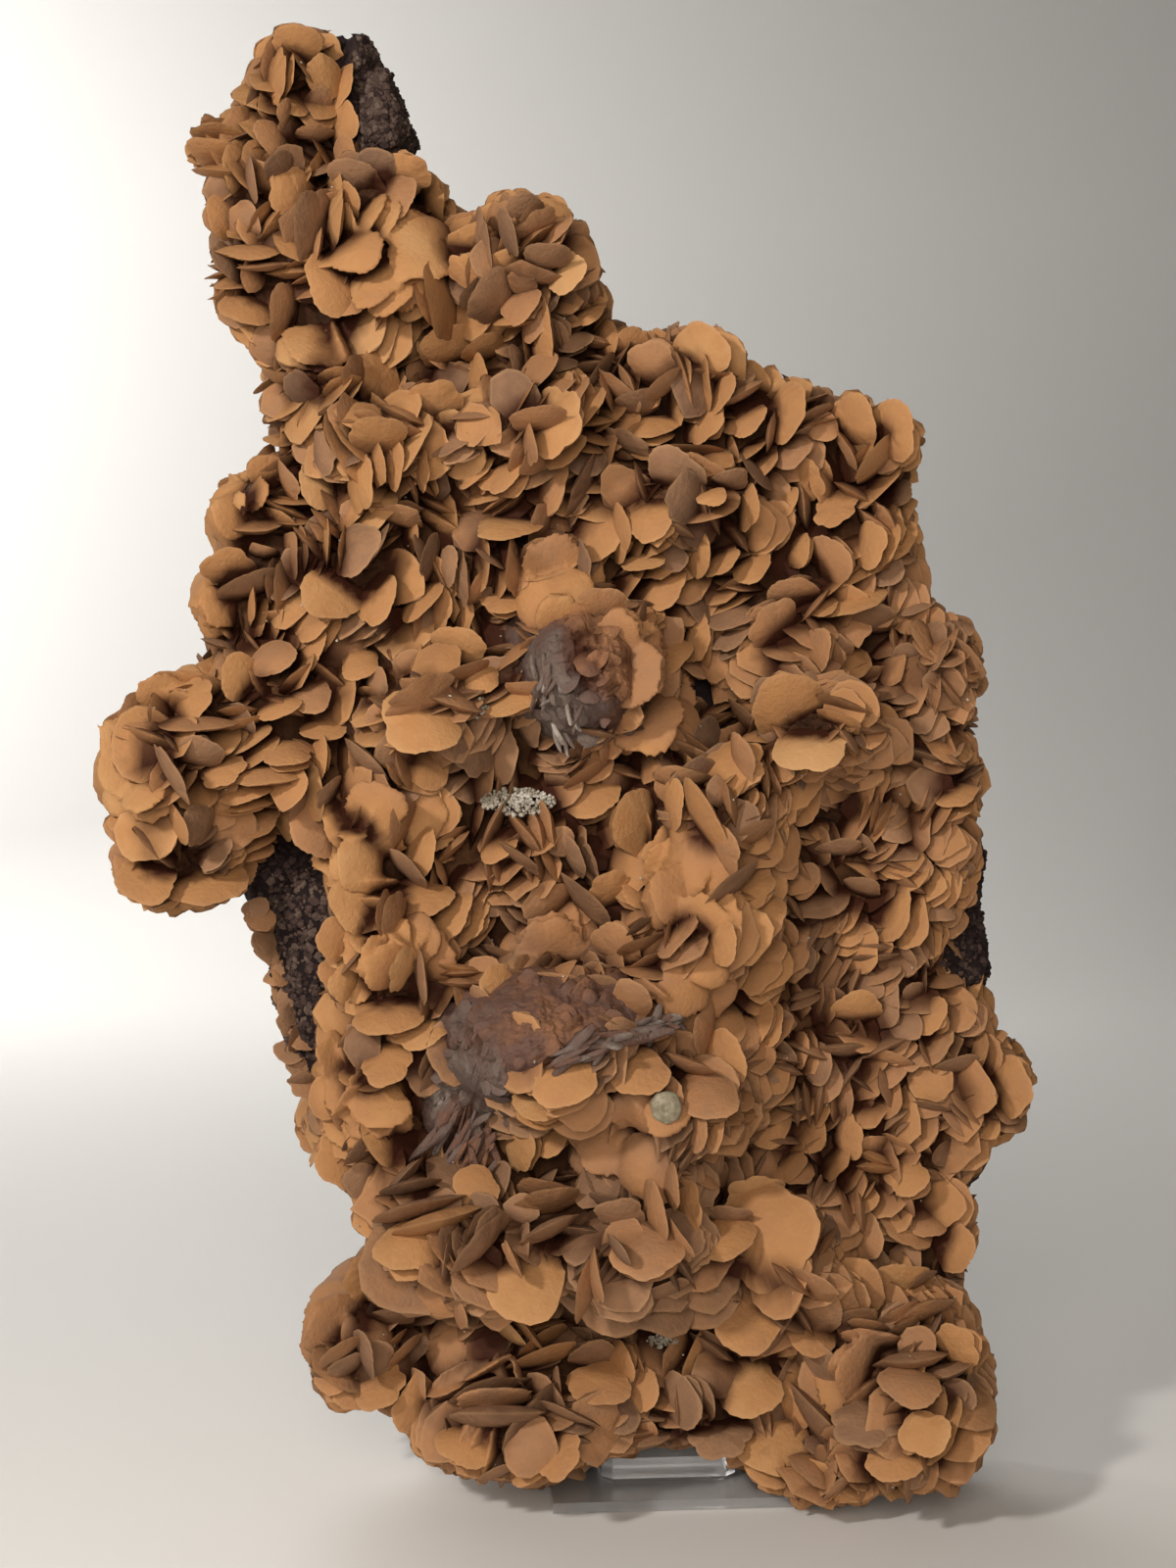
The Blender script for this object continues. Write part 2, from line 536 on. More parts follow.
        (270, 790, 44, -90, 70, 3.0, TAN), (326, 772, 26, 0, 54, 3.0, TAN),
        (330, 742, 28, -90, 54, 3.0, TAN), (285, 722, 26, -70, 44, 2.5, TAN),
    ),
    "left_band": (
        (324, 842, 38, 190, 26, 2.0, PINK), (385, 826, 42, 60, 18, 3.0, TAN),
        (411, 836, 34, 160, 72, 5.0, PINK), (425, 868, 38, -20, 46, 4.0, TAN),
        (418, 886, 32, 45, 70, 6.0, GREY), (368, 882, 38, 180, 18, 3.0, TAN),
        (366, 926, 36, 190, 22, 2.5, GOLD), (425, 914, 42, -90, 48, 4.0, TAN),
        (404, 934, 32, 170, 72, 6.0, PINK), (456, 934, 36, -50, 48, 3.5, TAN),
        (478, 940, 32, -48, 54, 3.0, TAN), (396, 985, 36, 150, 36, 3.5, PINK),
        (412, 988, 28, 162, 66, 6.0, PALE), (430, 992, 40, 8, 74, 6.0, GREY),
        (334, 994, 22, 200, 22, 3.0, TAN), (352, 1002, 22, 170, 30, 3.0, GOLD),
        (344, 958, 26, 180, 26, 2.5, TAN), (395, 1034, 44, -92, 58, 4.0, TAN),
        (430, 1050, 38, -78, 56, 4.0, GOLD), (340, 1080, 38, 182, 36, 2.0, TAN),
        (395, 1084, 32, -80, 44, 3.0, TAN), (470, 990, 30, 80, 76, 3.0, TAN),
        (470, 1004, 32, 86, 76, 3.0, PINK), (508, 1000, 22, 190, 28, 3.5, GOLD),
    ),
    "ridge": (
        (508, 862, 28, -60, 40, 2.5, TAN), (530, 875, 32, 50, 74, 5.0, GREY),
        (585, 874, 28, 30, 68, 3.0, GREY), (602, 880, 24, 24, 70, 3.0, GREY),
        (558, 922, 30, 140, 34, 2.5, PINK), (598, 922, 48, 45, 72, 6.0, GREY),
        (622, 908, 28, 100, 26, 3.0, TAN), (652, 944, 18, 130, 64, 4.0, DARK),
        (688, 912, 40, 180, 22, 4.5, GOLD), (742, 907, 50, 132, 73, 6.0, GREY),
        (766, 906, 30, -60, 32, 3.0, TAN), (774, 934, 32, -70, 28, 3.0, TAN),
        (734, 960, 32, -10, 46, 3.5, TAN), (774, 984, 38, -40, 38, 3.5, TAN),
        (698, 1004, 44, 180, 16, 4.5, TAN), (560, 966, 44, 100, 18, 3.5, TAN),
        (630, 968, 34, 40, 46, 3.0, PINK), (645, 1020, 28, 60, 26, 3.5, PINK),
        (734, 1080, 42, 0, 36, 4.5, TAN), (718, 1050, 38, 168, 72, 7.0, PINK),
        (772, 1040, 30, -20, 58, 3.0, TAN), (784, 1046, 28, -20, 62, 3.0, TAN),
        (700, 1084, 36, 62, 66, 6.0, PINK), (650, 1094, 38, -86, 42, 4.0, TAN),
        (575, 1100, 40, -80, 26, 3.5, TAN), (550, 1124, 34, -86, 48, 3.5, GOLD),
        (720, 1116, 42, -88, 52, 4.0, PINK), (678, 1136, 32, -90, 18, 4.0, TAN),
    ),
    "right_field": (
        (860, 866, 30, 88, 70, 2.0, GREY), (925, 935, 38, -15, 46, 1.5, TAN),
        (906, 932, 42, -15, 60, 2.0, TAN), (874, 1030, 28, 80, 30, 2.0, TAN),
        (978, 1086, 28, 92, 58, 3.0, GREY), (860, 1072, 32, 85, 66, 2.0, GREY),
        (925, 1200, 26, -60, 28, 2.0, TAN), (878, 1262, 34, -10, 42, 3.0, PINK),
        (972, 1275, 30, -20, 32, 1.0, TAN), (948, 1036, 24, -30, 36, 2.0, TAN),
        (864, 1160, 30, -10, 52, 2.0, TAN), (948, 1130, 28, 75, 66, 2.5, GREY),
        (1028, 1110, 36, -8, 40, 1.0, TAN), (820, 820, 28, -30, 40, 2.0, TAN),
        (975, 810, 26, -80, 56, 1.5, TAN), (880, 905, 26, 75, 66, 2.0, GREY),
    ),
    "skirt": (
        (372, 1172, 34, 135, 70, 3.0, DARK), (345, 1182, 32, 210, 30, 1.5, TAN),
        (388, 1128, 38, -95, 30, 3.0, TAN), (487, 1208, 30, -92, 32, 7.0, TAN),
        (530, 1168, 32, 0, 46, 6.0, GOLD), (620, 1164, 42, -60, 16, 4.0, TAN),
        (560, 1160, 30, -60, 56, 3.0, TAN), (425, 1232, 56, 110, 76, 6.0, GREY),
        (446, 1246, 52, 104, 76, 6.0, TAN), (420, 1272, 46, -96, 46, 4.0, GOLD),
        (488, 1268, 42, 142, 73, 7.0, GREY), (502, 1252, 32, 150, 50, 4.0, GREY),
        (524, 1280, 24, 20, 74, 7.0, PINK), (560, 1226, 44, 96, 52, 5.0, PINK),
        (560, 1252, 42, 122, 73, 7.0, GREY), (600, 1308, 42, 168, 76, 7.0, PINK),
        (608, 1296, 34, 2, 76, 7.0, PINK), (535, 1304, 54, -92, 38, 5.0, GOLD),
        (470, 1328, 28, 10, 70, 6.0, PINK), (512, 1350, 44, 45, 68, 6.0, PALE),
        (534, 1350, 36, 46, 72, 6.0, TAN), (632, 1236, 30, 90, 36, 5.0, GREY),
        (631, 1268, 24, 35, 68, 8.0, DARK), (668, 1232, 38, 8, 73, 8.0, PINK),
        (684, 1206, 28, 0, 73, 8.0, PINK), (692, 1258, 30, 22, 68, 8.0, PINK),
        (660, 1274, 42, -88, 42, 5.0, PINK), (700, 1230, 36, 10, 50, 5.0, TAN),
        (780, 1262, 66, -35, 20, 4.0, TAN), (770, 1214, 34, 100, 28, 6.5, PALE),
        (738, 1234, 34, 80, 64, 9.0, GREY), (740, 1256, 36, -86, 62, 9.0, TAN),
        (830, 1310, 36, 52, 64, 5.0, PINK), (765, 1345, 46, -90, 48, 3.5, TAN),
    ),
    "foot": (
        (336, 1350, 44, 172, 28, 2.5, TAN), (376, 1306, 34, 150, 30, 2.0, TAN),
        (350, 1376, 34, 132, 70, 6.0, PINK), (374, 1376, 30, 18, 62, 6.0, DARK),
        (412, 1376, 32, 135, 70, 6.0, PINK), (402, 1342, 32, 90, 48, 4.0, GREY),
        (456, 1374, 32, -40, 26, 3.0, PINK), (386, 1412, 34, -86, 50, 3.0, TAN),
        (422, 1436, 36, 190, 30, 3.0, TAN),
        (500, 1416, 50, 102, 62, 5.0, GREY), (506, 1446, 54, 96, 58, 5.0, GREY),
        (556, 1386, 48, 112, 58, 4.0, TAN), (606, 1382, 34, 100, 36, 4.0, GREY),
        (610, 1408, 36, -86, 62, 6.0, TAN), (580, 1438, 38, 66, 64, 6.0, GREY),
        (570, 1482, 32, -52, 54, 4.0, TAN), (540, 1504, 30, -60, 60, 3.0, TAN),
        (632, 1386, 30, 0, 46, 5.0, TAN), (650, 1420, 32, -30, 46, 3.0, TAN),
        (760, 1412, 44, -88, 40, 4.0, GOLD), (694, 1430, 34, 0, 40, 2.5, GREY),
        (735, 1466, 38, -90, 66, 3.0, GREY), (474, 1476, 34, -100, 44, 2.0, TAN),
        (918, 1308, 38, 100, 26, 4.0, GOLD), (940, 1334, 42, 110, 70, 7.0, PINK),
        (937, 1300, 22, 130, 60, 7.0, GREY), (876, 1392, 40, 170, 24, 4.0, TAN),
        (832, 1388, 36, 20, 46, 5.0, GREY), (888, 1366, 36, 80, 40, 4.0, PINK),
        (976, 1376, 32, 20, 30, 2.5, TAN), (926, 1410, 38, -86, 62, 6.0, PINK),
        (884, 1448, 42, -90, 62, 6.0, GREY), (942, 1460, 30, -60, 36, 4.0, GOLD),
        (808, 1424, 34, -10, 30, 4.0, TAN), (835, 1450, 56, 38, 76, 7.0, GREY),
        (790, 1476, 44, -88, 38, 3.5, GOLD), (910, 1486, 36, -88, 46, 3.5, TAN),
        (985, 1470, 32, -60, 44, 1.5, TAN),
    ),
}
print("rows:", {region: len(rows) for region, rows in STANDOUT.items()})

# %% [markdown]
# Each row becomes a crystal: its place is dropped on the skin along the line of sight, and its
# lower part sinks in, more so the more it leans. Some get a few crystals under their raised edge,
# as in a stack.

# %% Set them on the skin
LEAN_START, LEAN_SHARE = 20, 0.74
BLADE_LEAN = 65
HAND_SIZE = 0.95
HAND_SUNK = 0.8
DEEPEST_SUNK = 0.6
SHOWN_DISC, SHOWN_BLADE = 0.5, 0.3
FOLLOW_SEED = 5


def front_of(surface, across, down):
    """Where the line of sight through a place first meets the surface."""
    ray = (sight(across, down, 0) - EYE).normalized()
    return surface.ray_cast(EYE, ray)[0]


def facing_of(turn, lean):
    """The direction that a disc faces, from its raised edge's direction and its lean."""
    turn, lean = math.radians(turn), math.radians(lean)
    raised = Vector((math.cos(turn), 0, math.sin(turn)))
    return Vector((0, -1, 0)) * math.cos(lean) - raised * math.sin(lean)


def set_by_hand(surface):
    """The crystals set by hand, as dicts of middle, facing, radius, stain and the place shown."""
    made = []
    for across, down, radius, turn, lean, lift, stain in sum(STANDOUT.values(), ()):
        radius *= HAND_SIZE
        lean = LEAN_START + LEAN_SHARE * lean
        point = front_of(surface, across, down)
        if point is None:
            print("no crust at", across, down)
            continue
        size = radius * step_at(point)
        sunk = min(size * math.sin(math.radians(lean)) * HAND_SUNK, size * DEEPEST_SUNK)
        middle = point + Vector((0, sunk - (lift + 1) * MM, 0))
        facing = facing_of(turn, lean)
        reach = radius * (SHOWN_BLADE if lean > BLADE_LEAN else SHOWN_DISC)
        raised = Vector((math.cos(math.radians(turn)), -0.6, math.sin(math.radians(turn))))
        made.append({"middle": middle, "facing": facing, "raised": raised, "radius": size,
                     "stain": stain, "turn": turn, "lean": lean, "view": (across, down, reach)})
    return made


def following(draw, leader):
    """Crystals that lie under the raised edge of one that is set by hand, as in a stack."""
    turn = math.radians(leader["turn"])
    raised = Vector((math.cos(turn), 0, math.sin(turn)))
    radius, made = leader["radius"], []
    if leader["lean"] > BLADE_LEAN:
        shift = raised * radius * draw.uniform(0.3, 0.45) + Vector((0, radius * 0.2, 0))
        count = draw.choice((0, 0, 0, 1))
    else:
        shift = raised * radius * draw.uniform(0.24, 0.36) + Vector((0, radius * 0.16, 0))
        count = draw.choice((0, 0, 1, 1, 2))
    for number in range(1, count + 1):
        swing = draw.gauss(0, 9) * number
        lean = min(84, leader["lean"] + draw.gauss(3, 4) * number)
        size = radius * draw.uniform(0.62, 0.92)
        made.append({"middle": leader["middle"] + shift * number, "raised": leader["raised"],
                     "facing": facing_of(leader["turn"] + swing, lean),
                     "radius": size, "stain": leader["stain"] + draw.uniform(-0.1, 0.15)})
    return made


standouts = set_by_hand(lobe_skin)
follow_draw = random.Random(FOLLOW_SEED)
followers = [disc for leader in standouts for disc in following(follow_draw, leader)]
print(len(standouts), "crystals set by hand and", len(followers), "under their edges")

# %% [markdown]
# The other crystals are scattered, but they aren't alike everywhere: some regions are finer, some
# are greyer, some patches are bare, and on each lobe the raised edges point away from its middle,
# so that it opens like a flower. A dense map isn't needed for that. A few spots, each with a
# place and a radius, say what holds near them: the size, the stain, the direction of the raised
# edges, where the crust is bare, and where the crystals are grown smoothly together.

# %% What differs from region to region
COMMON_RADIUS = 7.8 * MM
DOWN_RIGHT = Vector((0.8, 0, -0.6))
SIZE_SPOTS = (
    (900, 960, 150, 0.78),
    (880, 1150, 130, 0.8),
    (930, 800, 90, 0.8),
    (600, 1300, 150, 1.12),
    (860, 1400, 120, 1.05),
    (280, 200, 120, 0.95),
    (680, 430, 120, 1.1),
    (510, 900, 90, 0.9),
)
STAIN_SPOTS = (
    (330, 260, 170, 0.16),
    (380, 560, 170, 0.26),
    (600, 420, 120, 0.3),
    (150, 800, 80, 0.24),
    (590, 690, 100, 0.62),
    (500, 760, 50, 0.85),
    (380, 900, 90, 0.22),
    (540, 1040, 130, 0.68),
    (600, 1230, 140, 0.84),
    (540, 1400, 130, 0.72),
    (350, 1360, 80, 0.62),
    (900, 1400, 120, 0.58),
    (900, 1000, 150, 0.52),
    (920, 690, 90, 0.58),
    (570, 340, 50, 0.75),
    (790, 480, 120, 0.42),
)
BARE_SPOTS = (
    (586, 694, 44, 62),
    (548, 1040, 74, 36),
    (480, 1112, 30, 52),
    (296, 950, 40, 92),
    (402, 100, 30, 76),
    (1014, 945, 26, 84),
    (530, 820, 34, 12),
    (690, 1345, 34, 14),
)
FLOW_SPOTS = (
    (300, 120, 70, 200),
    (260, 300, 60, -120),
    (390, 220, 60, 20),
    (380, 300, 70, -60),
    (530, 250, 60, 110),
    (590, 330, 60, -40),
    (340, 480, 50, 190),
    (420, 490, 70, -20),
    (560, 460, 70, -60),
    (660, 350, 60, 70),
    (800, 440, 90, -40),
    (910, 450, 60, 0),
    (690, 560, 90, -55),
    (240, 560, 60, 200),
    (360, 600, 90, -30),
    (870, 560, 80, -30),
    (820, 720, 80, -45),
    (940, 700, 60, 0),
    (150, 790, 60, 180),
    (245, 840, 60, -20),
    (190, 900, 50, -90),
    (390, 900, 90, -40),
    (540, 900, 80, -60),
    (720, 900, 80, -30),
    (900, 900, 120, -50),
    (720, 1080, 80, -25),
    (560, 1130, 90, -90),
    (400, 1100, 70, 210),
    (900, 1100, 120, -40),
    (1010, 1110, 60, 0),
    (480, 1260, 90, -110),
    (640, 1270, 70, -85),
    (780, 1280, 70, -60),
    (350, 1370, 70, 190),
    (540, 1430, 100, -110),
    (720, 1420, 80, -90),
    (900, 1340, 60, 60),
    (870, 1400, 50, 170),
    (950, 1440, 70, -50),
)
SMOOTH_SPOTS = (
    (385, 262, 60),
    (395, 870, 62),
    (400, 985, 46),
    (700, 905, 56),
    (640, 1165, 60),
    (128, 795, 44),
    (560, 606, 40),
    (655, 742, 36),
    (642, 668, 38),
    (335, 1085, 40),
    (700, 1010, 44),
    (600, 200, 30),
    (240, 525, 36),
    (222, 610, 34),
    (165, 708, 34),
    (338, 1350, 44),
    (500, 1430, 56),
    (875, 1390, 42),
    (560, 968, 40),
    (325, 345, 36),
    (385, 1130, 38),
)
print("spots:", len(SIZE_SPOTS + STAIN_SPOTS + BARE_SPOTS + FLOW_SPOTS + SMOOTH_SPOTS))

# %% [markdown]
# A place takes the average of the spots, weighted by how near they are. The weight falls off like
# a bell curve, so nothing changes with a step from one region to the next. A starting value with
# a small weight of its own holds where no spot is near.

# %% Read the spots at a place
def smooth_at(across, down):
    """How smoothly the crystals are grown together there, from 0 to 1."""
    return max(math.exp(-(math.hypot(across - a, down - d) / r) ** 2) for a, d, r in SMOOTH_SPOTS)


def pulled(across, down, spots):
    """Each spot with its pull at that place, which fades beyond the spot's radius."""
    for spot in spots:
        away = math.hypot(across - spot[0], down - spot[1]) / spot[2]
        yield spot, math.exp(-away ** 2)


def size_at(across, down):
    """How large crystals are there, against the common size."""
    factor, weight = 0.5, 0.5
    for spot, pull in pulled(across, down, SIZE_SPOTS):
        factor, weight = factor + spot[3] * pull, weight + pull
    return factor / weight


def flow_at(across, down):
    """The direction in which raised edges point there, in the view's plane."""
    flow = DOWN_RIGHT * 0.3
    for spot, pull in pulled(across, down, FLOW_SPOTS):
        turn = math.radians(spot[3])
        flow = flow + Vector((math.cos(turn), 0, math.sin(turn))) * pull
    return flow.normalized()


def region_stain(point):
    """The stain that a region has as a whole."""
    stain, weight = 0.15, 0.5
    for spot, pull in pulled(*seen_at(point), STAIN_SPOTS):
        stain, weight = stain + spot[3] * pull, weight + pull
    return stain / weight


def stain_at(draw, point):
    """A stain for one crystal there: the region's own, and a chance of a darker one."""
    return max(0.0, region_stain(point) + draw.triangular(-0.14, 0.2, 0.0))


def bare_at(across, down):
    """Whether the crust is broken away there."""
    return any(((across - a) / w) ** 2 + ((down - d) / h) ** 2 < 1 for a, d, w, h in BARE_SPOTS)


print("size against the common one at the upper rosette:", round(size_at(405, 465), 2))

# %% [markdown]
# Crystals can't be set at plain random points, because those clump and leave holes. So many points
# are drawn over the skin, each face getting its share by area, and a point is kept only where no
# earlier one is too close. A grid of boxes makes that test quick.

# %% Spread points over the skin
class Spread:
    """Keeps points and tells whether a new one is far enough from all of them."""

    def __init__(self, cell):
        """Starts with no points, and with boxes of that size."""
        self.cell, self.kept = cell, {}

    def near(self, point, reach):
        """Whether a kept point lies within reach."""
        low = [math.floor((value - reach) / self.cell) for value in point]
        high = [math.floor((value + reach) / self.cell) for value in point]
        for i in range(low[0], high[0] + 1):
            for j in range(low[1], high[1] + 1):
                for k in range(low[2], high[2] + 1):
                    for other in self.kept.get((i, j, k), ()):
                        if (other - point).length < reach:
                            return True
        return False

    def keep(self, point):
        """Adds a point to its box."""
        key = tuple(math.floor(value / self.cell) for value in point)
        self.kept.setdefault(key, []).append(point)


def skin_samples(draw, count):
    """Points drawn over the skin by area, with their normals, on its front and its sides."""
    front = [f for f in skin_faces if f[1].y < 0.3 and f[0].y < FRONT_EDGE - (SEAM_FORWARD + 4) * MM]
    chosen = draw.choices(front, weights=[f[2] for f in front], k=count)
    return [(f[0] + Vector([draw.uniform(-1, 1) * BED_VOXEL / 2 for _ in range(3)]), f[1])
            for f in chosen]


def spaced_samples(draw, count, spacing):
    """Samples of the skin no closer than spacing crystals' radii, with the radius at each."""
    spread, kept = Spread(COMMON_RADIUS * 1.5), []
    for point, normal in skin_samples(draw, count):
        across, down = seen_at(point)
        radius = COMMON_RADIUS * size_at(across, down)
        if not spread.near(point, radius * spacing):
            spread.keep(point)
            if normal.y > 0 or not bare_at(across, down):
                kept.append((point, normal, radius))
    return kept


# %% [markdown]
# Most crystals lie in short stacks, like fish scales: each disc is sunk at its upper left and
# raised at its lower right, and the next one shows as a crescent beyond its rim, a little deeper.
# Each point carries one such stack. Between the stacks stand blades, which are crystals seen
# edge-on, alone or in twos and threes, and small dark crystals fill the chinks. All the rims end
# near one uneven envelope over the skin, so that the crust is even from afar and rough close by.

# %% Stacks, blades and fillers
ENVELOPE = 2.6 * MM
SIDE_DROP = 3.0 * MM
ENVELOPE_RELIEF = 2.6 * MM
ENVELOPE_CELL = 13 * MM
STACK_LEAN = (49, 13)
STACK_COUNT = (1, 2, 2, 3)
STACK_STEP = (0.36, 0.58)
STACK_SINK = (0.02, 0.14)
FLAT, PLUMP = 0.72, 1.25
SMOOTH_CHANCE = 0.85
SMOOTH_PLUMP = 2.1
TOWARDS_VIEWER = 0.8


def outward(normal):
    """The way that crystals grow out of the skin there: outwards, but turned to the viewer."""
    return (normal + Vector((0, -TOWARDS_VIEWER, 0))).normalized()


def raised_way(draw, point, out):
    """The direction, square to out, in which a stack's edges rise."""
    flow = flow_at(*seen_at(point))
    wander = Vector([draw.gauss(0, 0.5) for _ in range(3)])
    raised = flow + wander
    return (raised - out * raised.dot(out)).normalized()


def envelope_at(point, normal):
    """How far the crystals' rims reach beyond the skin there: less where it faces sideways."""
    sideways = 1 - max(0.0, -normal.y)
    return ENVELOPE - SIDE_DROP * sideways + ENVELOPE_RELIEF * noise.noise(point / ENVELOPE_CELL)


def stack(draw, point, normal, radius):
    """The discs of one stack, each sunk at its back so that its raised rim meets the envelope."""
    out = outward(normal)
    raised = raised_way(draw, point, out)
    lean = math.radians(max(22, min(78, draw.gauss(*STACK_LEAN))))
    radius *= draw.triangular(0.6, 1.5, 0.95)
    step = radius * draw.uniform(*STACK_STEP)
    sink = radius * draw.uniform(*STACK_SINK)
    plump = FLAT
    if draw.random() < SMOOTH_CHANCE * smooth_at(*seen_at(point)):
        lean *= 0.55
        step *= 0.8
        plump = SMOOTH_PLUMP
    top = envelope_at(point, normal) + draw.uniform(-0.6, 0.9) * MM
    swing = math.radians(draw.gauss(0, 7))
    stain = stain_at(draw, point)
    discs = []
    for number in range(draw.choice(STACK_COUNT)):
        turn = Matrix.Rotation(swing * number, 3, out)
        along = turn @ raised
        facing = out * math.cos(lean) - along * math.sin(lean)
        facing += Vector([draw.gauss(0, 0.09) for _ in range(3)])
        size = radius * draw.uniform(0.88, 1.08)
        height = top - size * math.sin(lean) - sink * number
        discs.append({
            "middle": point + out * height + along * step * number,
            "facing": facing.normalized(),
            "raised": along * math.cos(lean) + out * math.sin(lean),
            "radius": size,
            "stain": stain + draw.uniform(-0.08, 0.12),
            "plump": plump,
        })
        lean += math.radians(draw.gauss(1.5, 2.5))
    return discs


def blades(draw, point, normal, radius):
    """One to three crystals side by side, standing on edge."""
    out = outward(normal)
    raised = raised_way(draw, point, out)
    side = Matrix.Rotation(math.radians(draw.gauss(90, 40)), 3, out)
    facing = (side @ raised + out * draw.gauss(0.1, 0.2)).normalized()
    radius *= draw.triangular(0.7, 1.35, 1.0)
    gap = radius * draw.uniform(0.28, 0.42)
    stain = stain_at(draw, point) + draw.uniform(0.08, 0.3)
    top = envelope_at(point, normal) + draw.uniform(-0.2, 2.0) * MM
    discs = []
    for number in range(draw.choice((1, 1, 1, 2, 2, 3))):
        turn = Matrix.Rotation(math.radians(draw.gauss(0, 9)), 3, out)
        size = radius * draw.uniform(0.8, 1.05)
        discs.append({
            "middle": point + out * (top - size) + facing * gap * number,
            "facing": turn @ facing,
            "raised": out,
            "radius": size,
            "stain": stain,
            "plump": PLUMP,
        })
    return discs


def filler(draw, point, normal, radius):
    """One crystal deep in the chinks, turned any way."""
    out = outward(normal)
    facing = (out + Vector([draw.gauss(0, 0.8) for _ in range(3)])).normalized()
    return [{
        "middle": point - out * draw.uniform(0.8, 2.5) * MM,
        "facing": facing,
        "radius": radius * draw.uniform(0.5, 0.85),
        "stain": draw.uniform(0.5, 1.0),
    }]


# %% [markdown]
# Not every scattered crystal may stay where chance put it. One that would cover a crystal set by
# hand is left out, one whose rim would leave the lobes' outline is drawn in, one near the floor
# is lifted, and one that the drawing in has left hanging in the air is left out too.

# %% Keep what fits
HIDING_SHARE = 0.3
HIDING_DEPTH = 4 * MM
FLOOR_CLEARANCE = 0.6 * MM
STAND_SHOWS = (596, 748, 1488)
OUTLINE_REACH = 0.62
OUTLINE_TESTS = 6
DRAWN_IN = 0.12
LOOSE_HEIGHT = 0.4


def hides_standout(disc):
    """Whether a scattered crystal would cover one that is set by hand."""
    across, down = seen_at(disc["middle"])
    for piece in standouts:
        shown_across, shown_down, reach = piece["view"]
        away = math.hypot(across - shown_across, down - shown_down)
        covers = disc["radius"] / VIEW_STEP * HIDING_SHARE
        if away < reach + covers and disc["middle"].y < piece["middle"].y + HIDING_DEPTH:
            return True
    return False


def above_floor(disc):
    """Lifts a crystal whose rim would go through the floor, or hide the stand from the front."""
    reach = disc["radius"] * math.sqrt(1 - min(1, disc["facing"].z ** 2))
    across, down = seen_at(disc["middle"])
    lowest = FLOOR_CLEARANCE
    if STAND_SHOWS[0] < across < STAND_SHOWS[1]:
        lowest = sight(across, STAND_SHOWS[2], 0).z
    disc["middle"].z = max(disc["middle"].z, reach + lowest)
    return disc


def leaves_outline(point):
    """Whether a point shows beyond the lobes' outline from the front."""
    return front_of(lobe_skin, *seen_at(point)) is None


def kept_inside(disc):
    """Draws a crystal in until its rim no longer leaves the lobes' outline in the front view."""
    side = disc["facing"].orthogonal().normalized()
    turns = [math.tau * number / OUTLINE_TESTS for number in range(OUTLINE_TESTS)]
    ways = [Matrix.Rotation(turn, 3, disc["facing"]) @ side for turn in turns]
    for _ in range(OUTLINE_TESTS):
        reach = disc["radius"] * OUTLINE_REACH
        outside = [way for way in ways if leaves_outline(disc["middle"] + way * reach)]
        if not outside:
            break
        for way in outside:
            disc["middle"] = disc["middle"] - way * disc["radius"] * DRAWN_IN
    return disc


def rooted(disc):
    """Whether a crystal's middle is deep enough for it to hold on to the crust."""
    near, normal = lobe_skin.find_nearest(disc["middle"])[:2]
    return (disc["middle"] - near).dot(normal) < disc["radius"] * LOOSE_HEIGHT


# %% Scatter the crystals
SCATTER_SEED = 7
SCATTERED_KINDS = (
    (0.95, 60000, stack),
    (1.1, 40000, blades),
    (1.1, 60000, filler),
)


def scatter():
    """All the scattered crystals, from (spacing, samples, kind) rows, and those that follow."""
    draw = random.Random(SCATTER_SEED)
    made = []
    for spacing, count, kind in SCATTERED_KINDS:
        before = len(made)
        for point, normal, radius in spaced_samples(draw, count, spacing):
            made.extend(kind(draw, point, normal, radius))
        print(kind.__name__, len(made) - before)
    shown = [above_floor(kept_inside(disc)) for disc in made if not hides_standout(disc)]
    shown.extend(above_floor(kept_inside(disc)) for disc in followers)
    shown = [disc for disc in shown if rooted(disc)]
    print(len(shown), "crystals scattered")
    return shown


scattered = scatter()
standouts = [above_floor(kept_inside(disc)) for disc in standouts]

# %% [markdown]
# A Geometry Nodes tree sets a shape on every point. The points carry what each crystal needs as
# attributes: where it faces, its radius, which shape it takes and its stain. The tree has named
# inputs for size, thickness and wobble, and it ends in Realize Instances and Set Material, so
# that the result is one plain mesh.

# %% The tree that sets a crystal on every point
def tree_input(tree, name, kind, value=None):
    """Gives a tree a named input and, where there is one, its default value."""
    socket = tree.interface.new_socket(name, in_out="INPUT", socket_type=kind)
    if value is not None:
        socket.default_value = value
    return socket


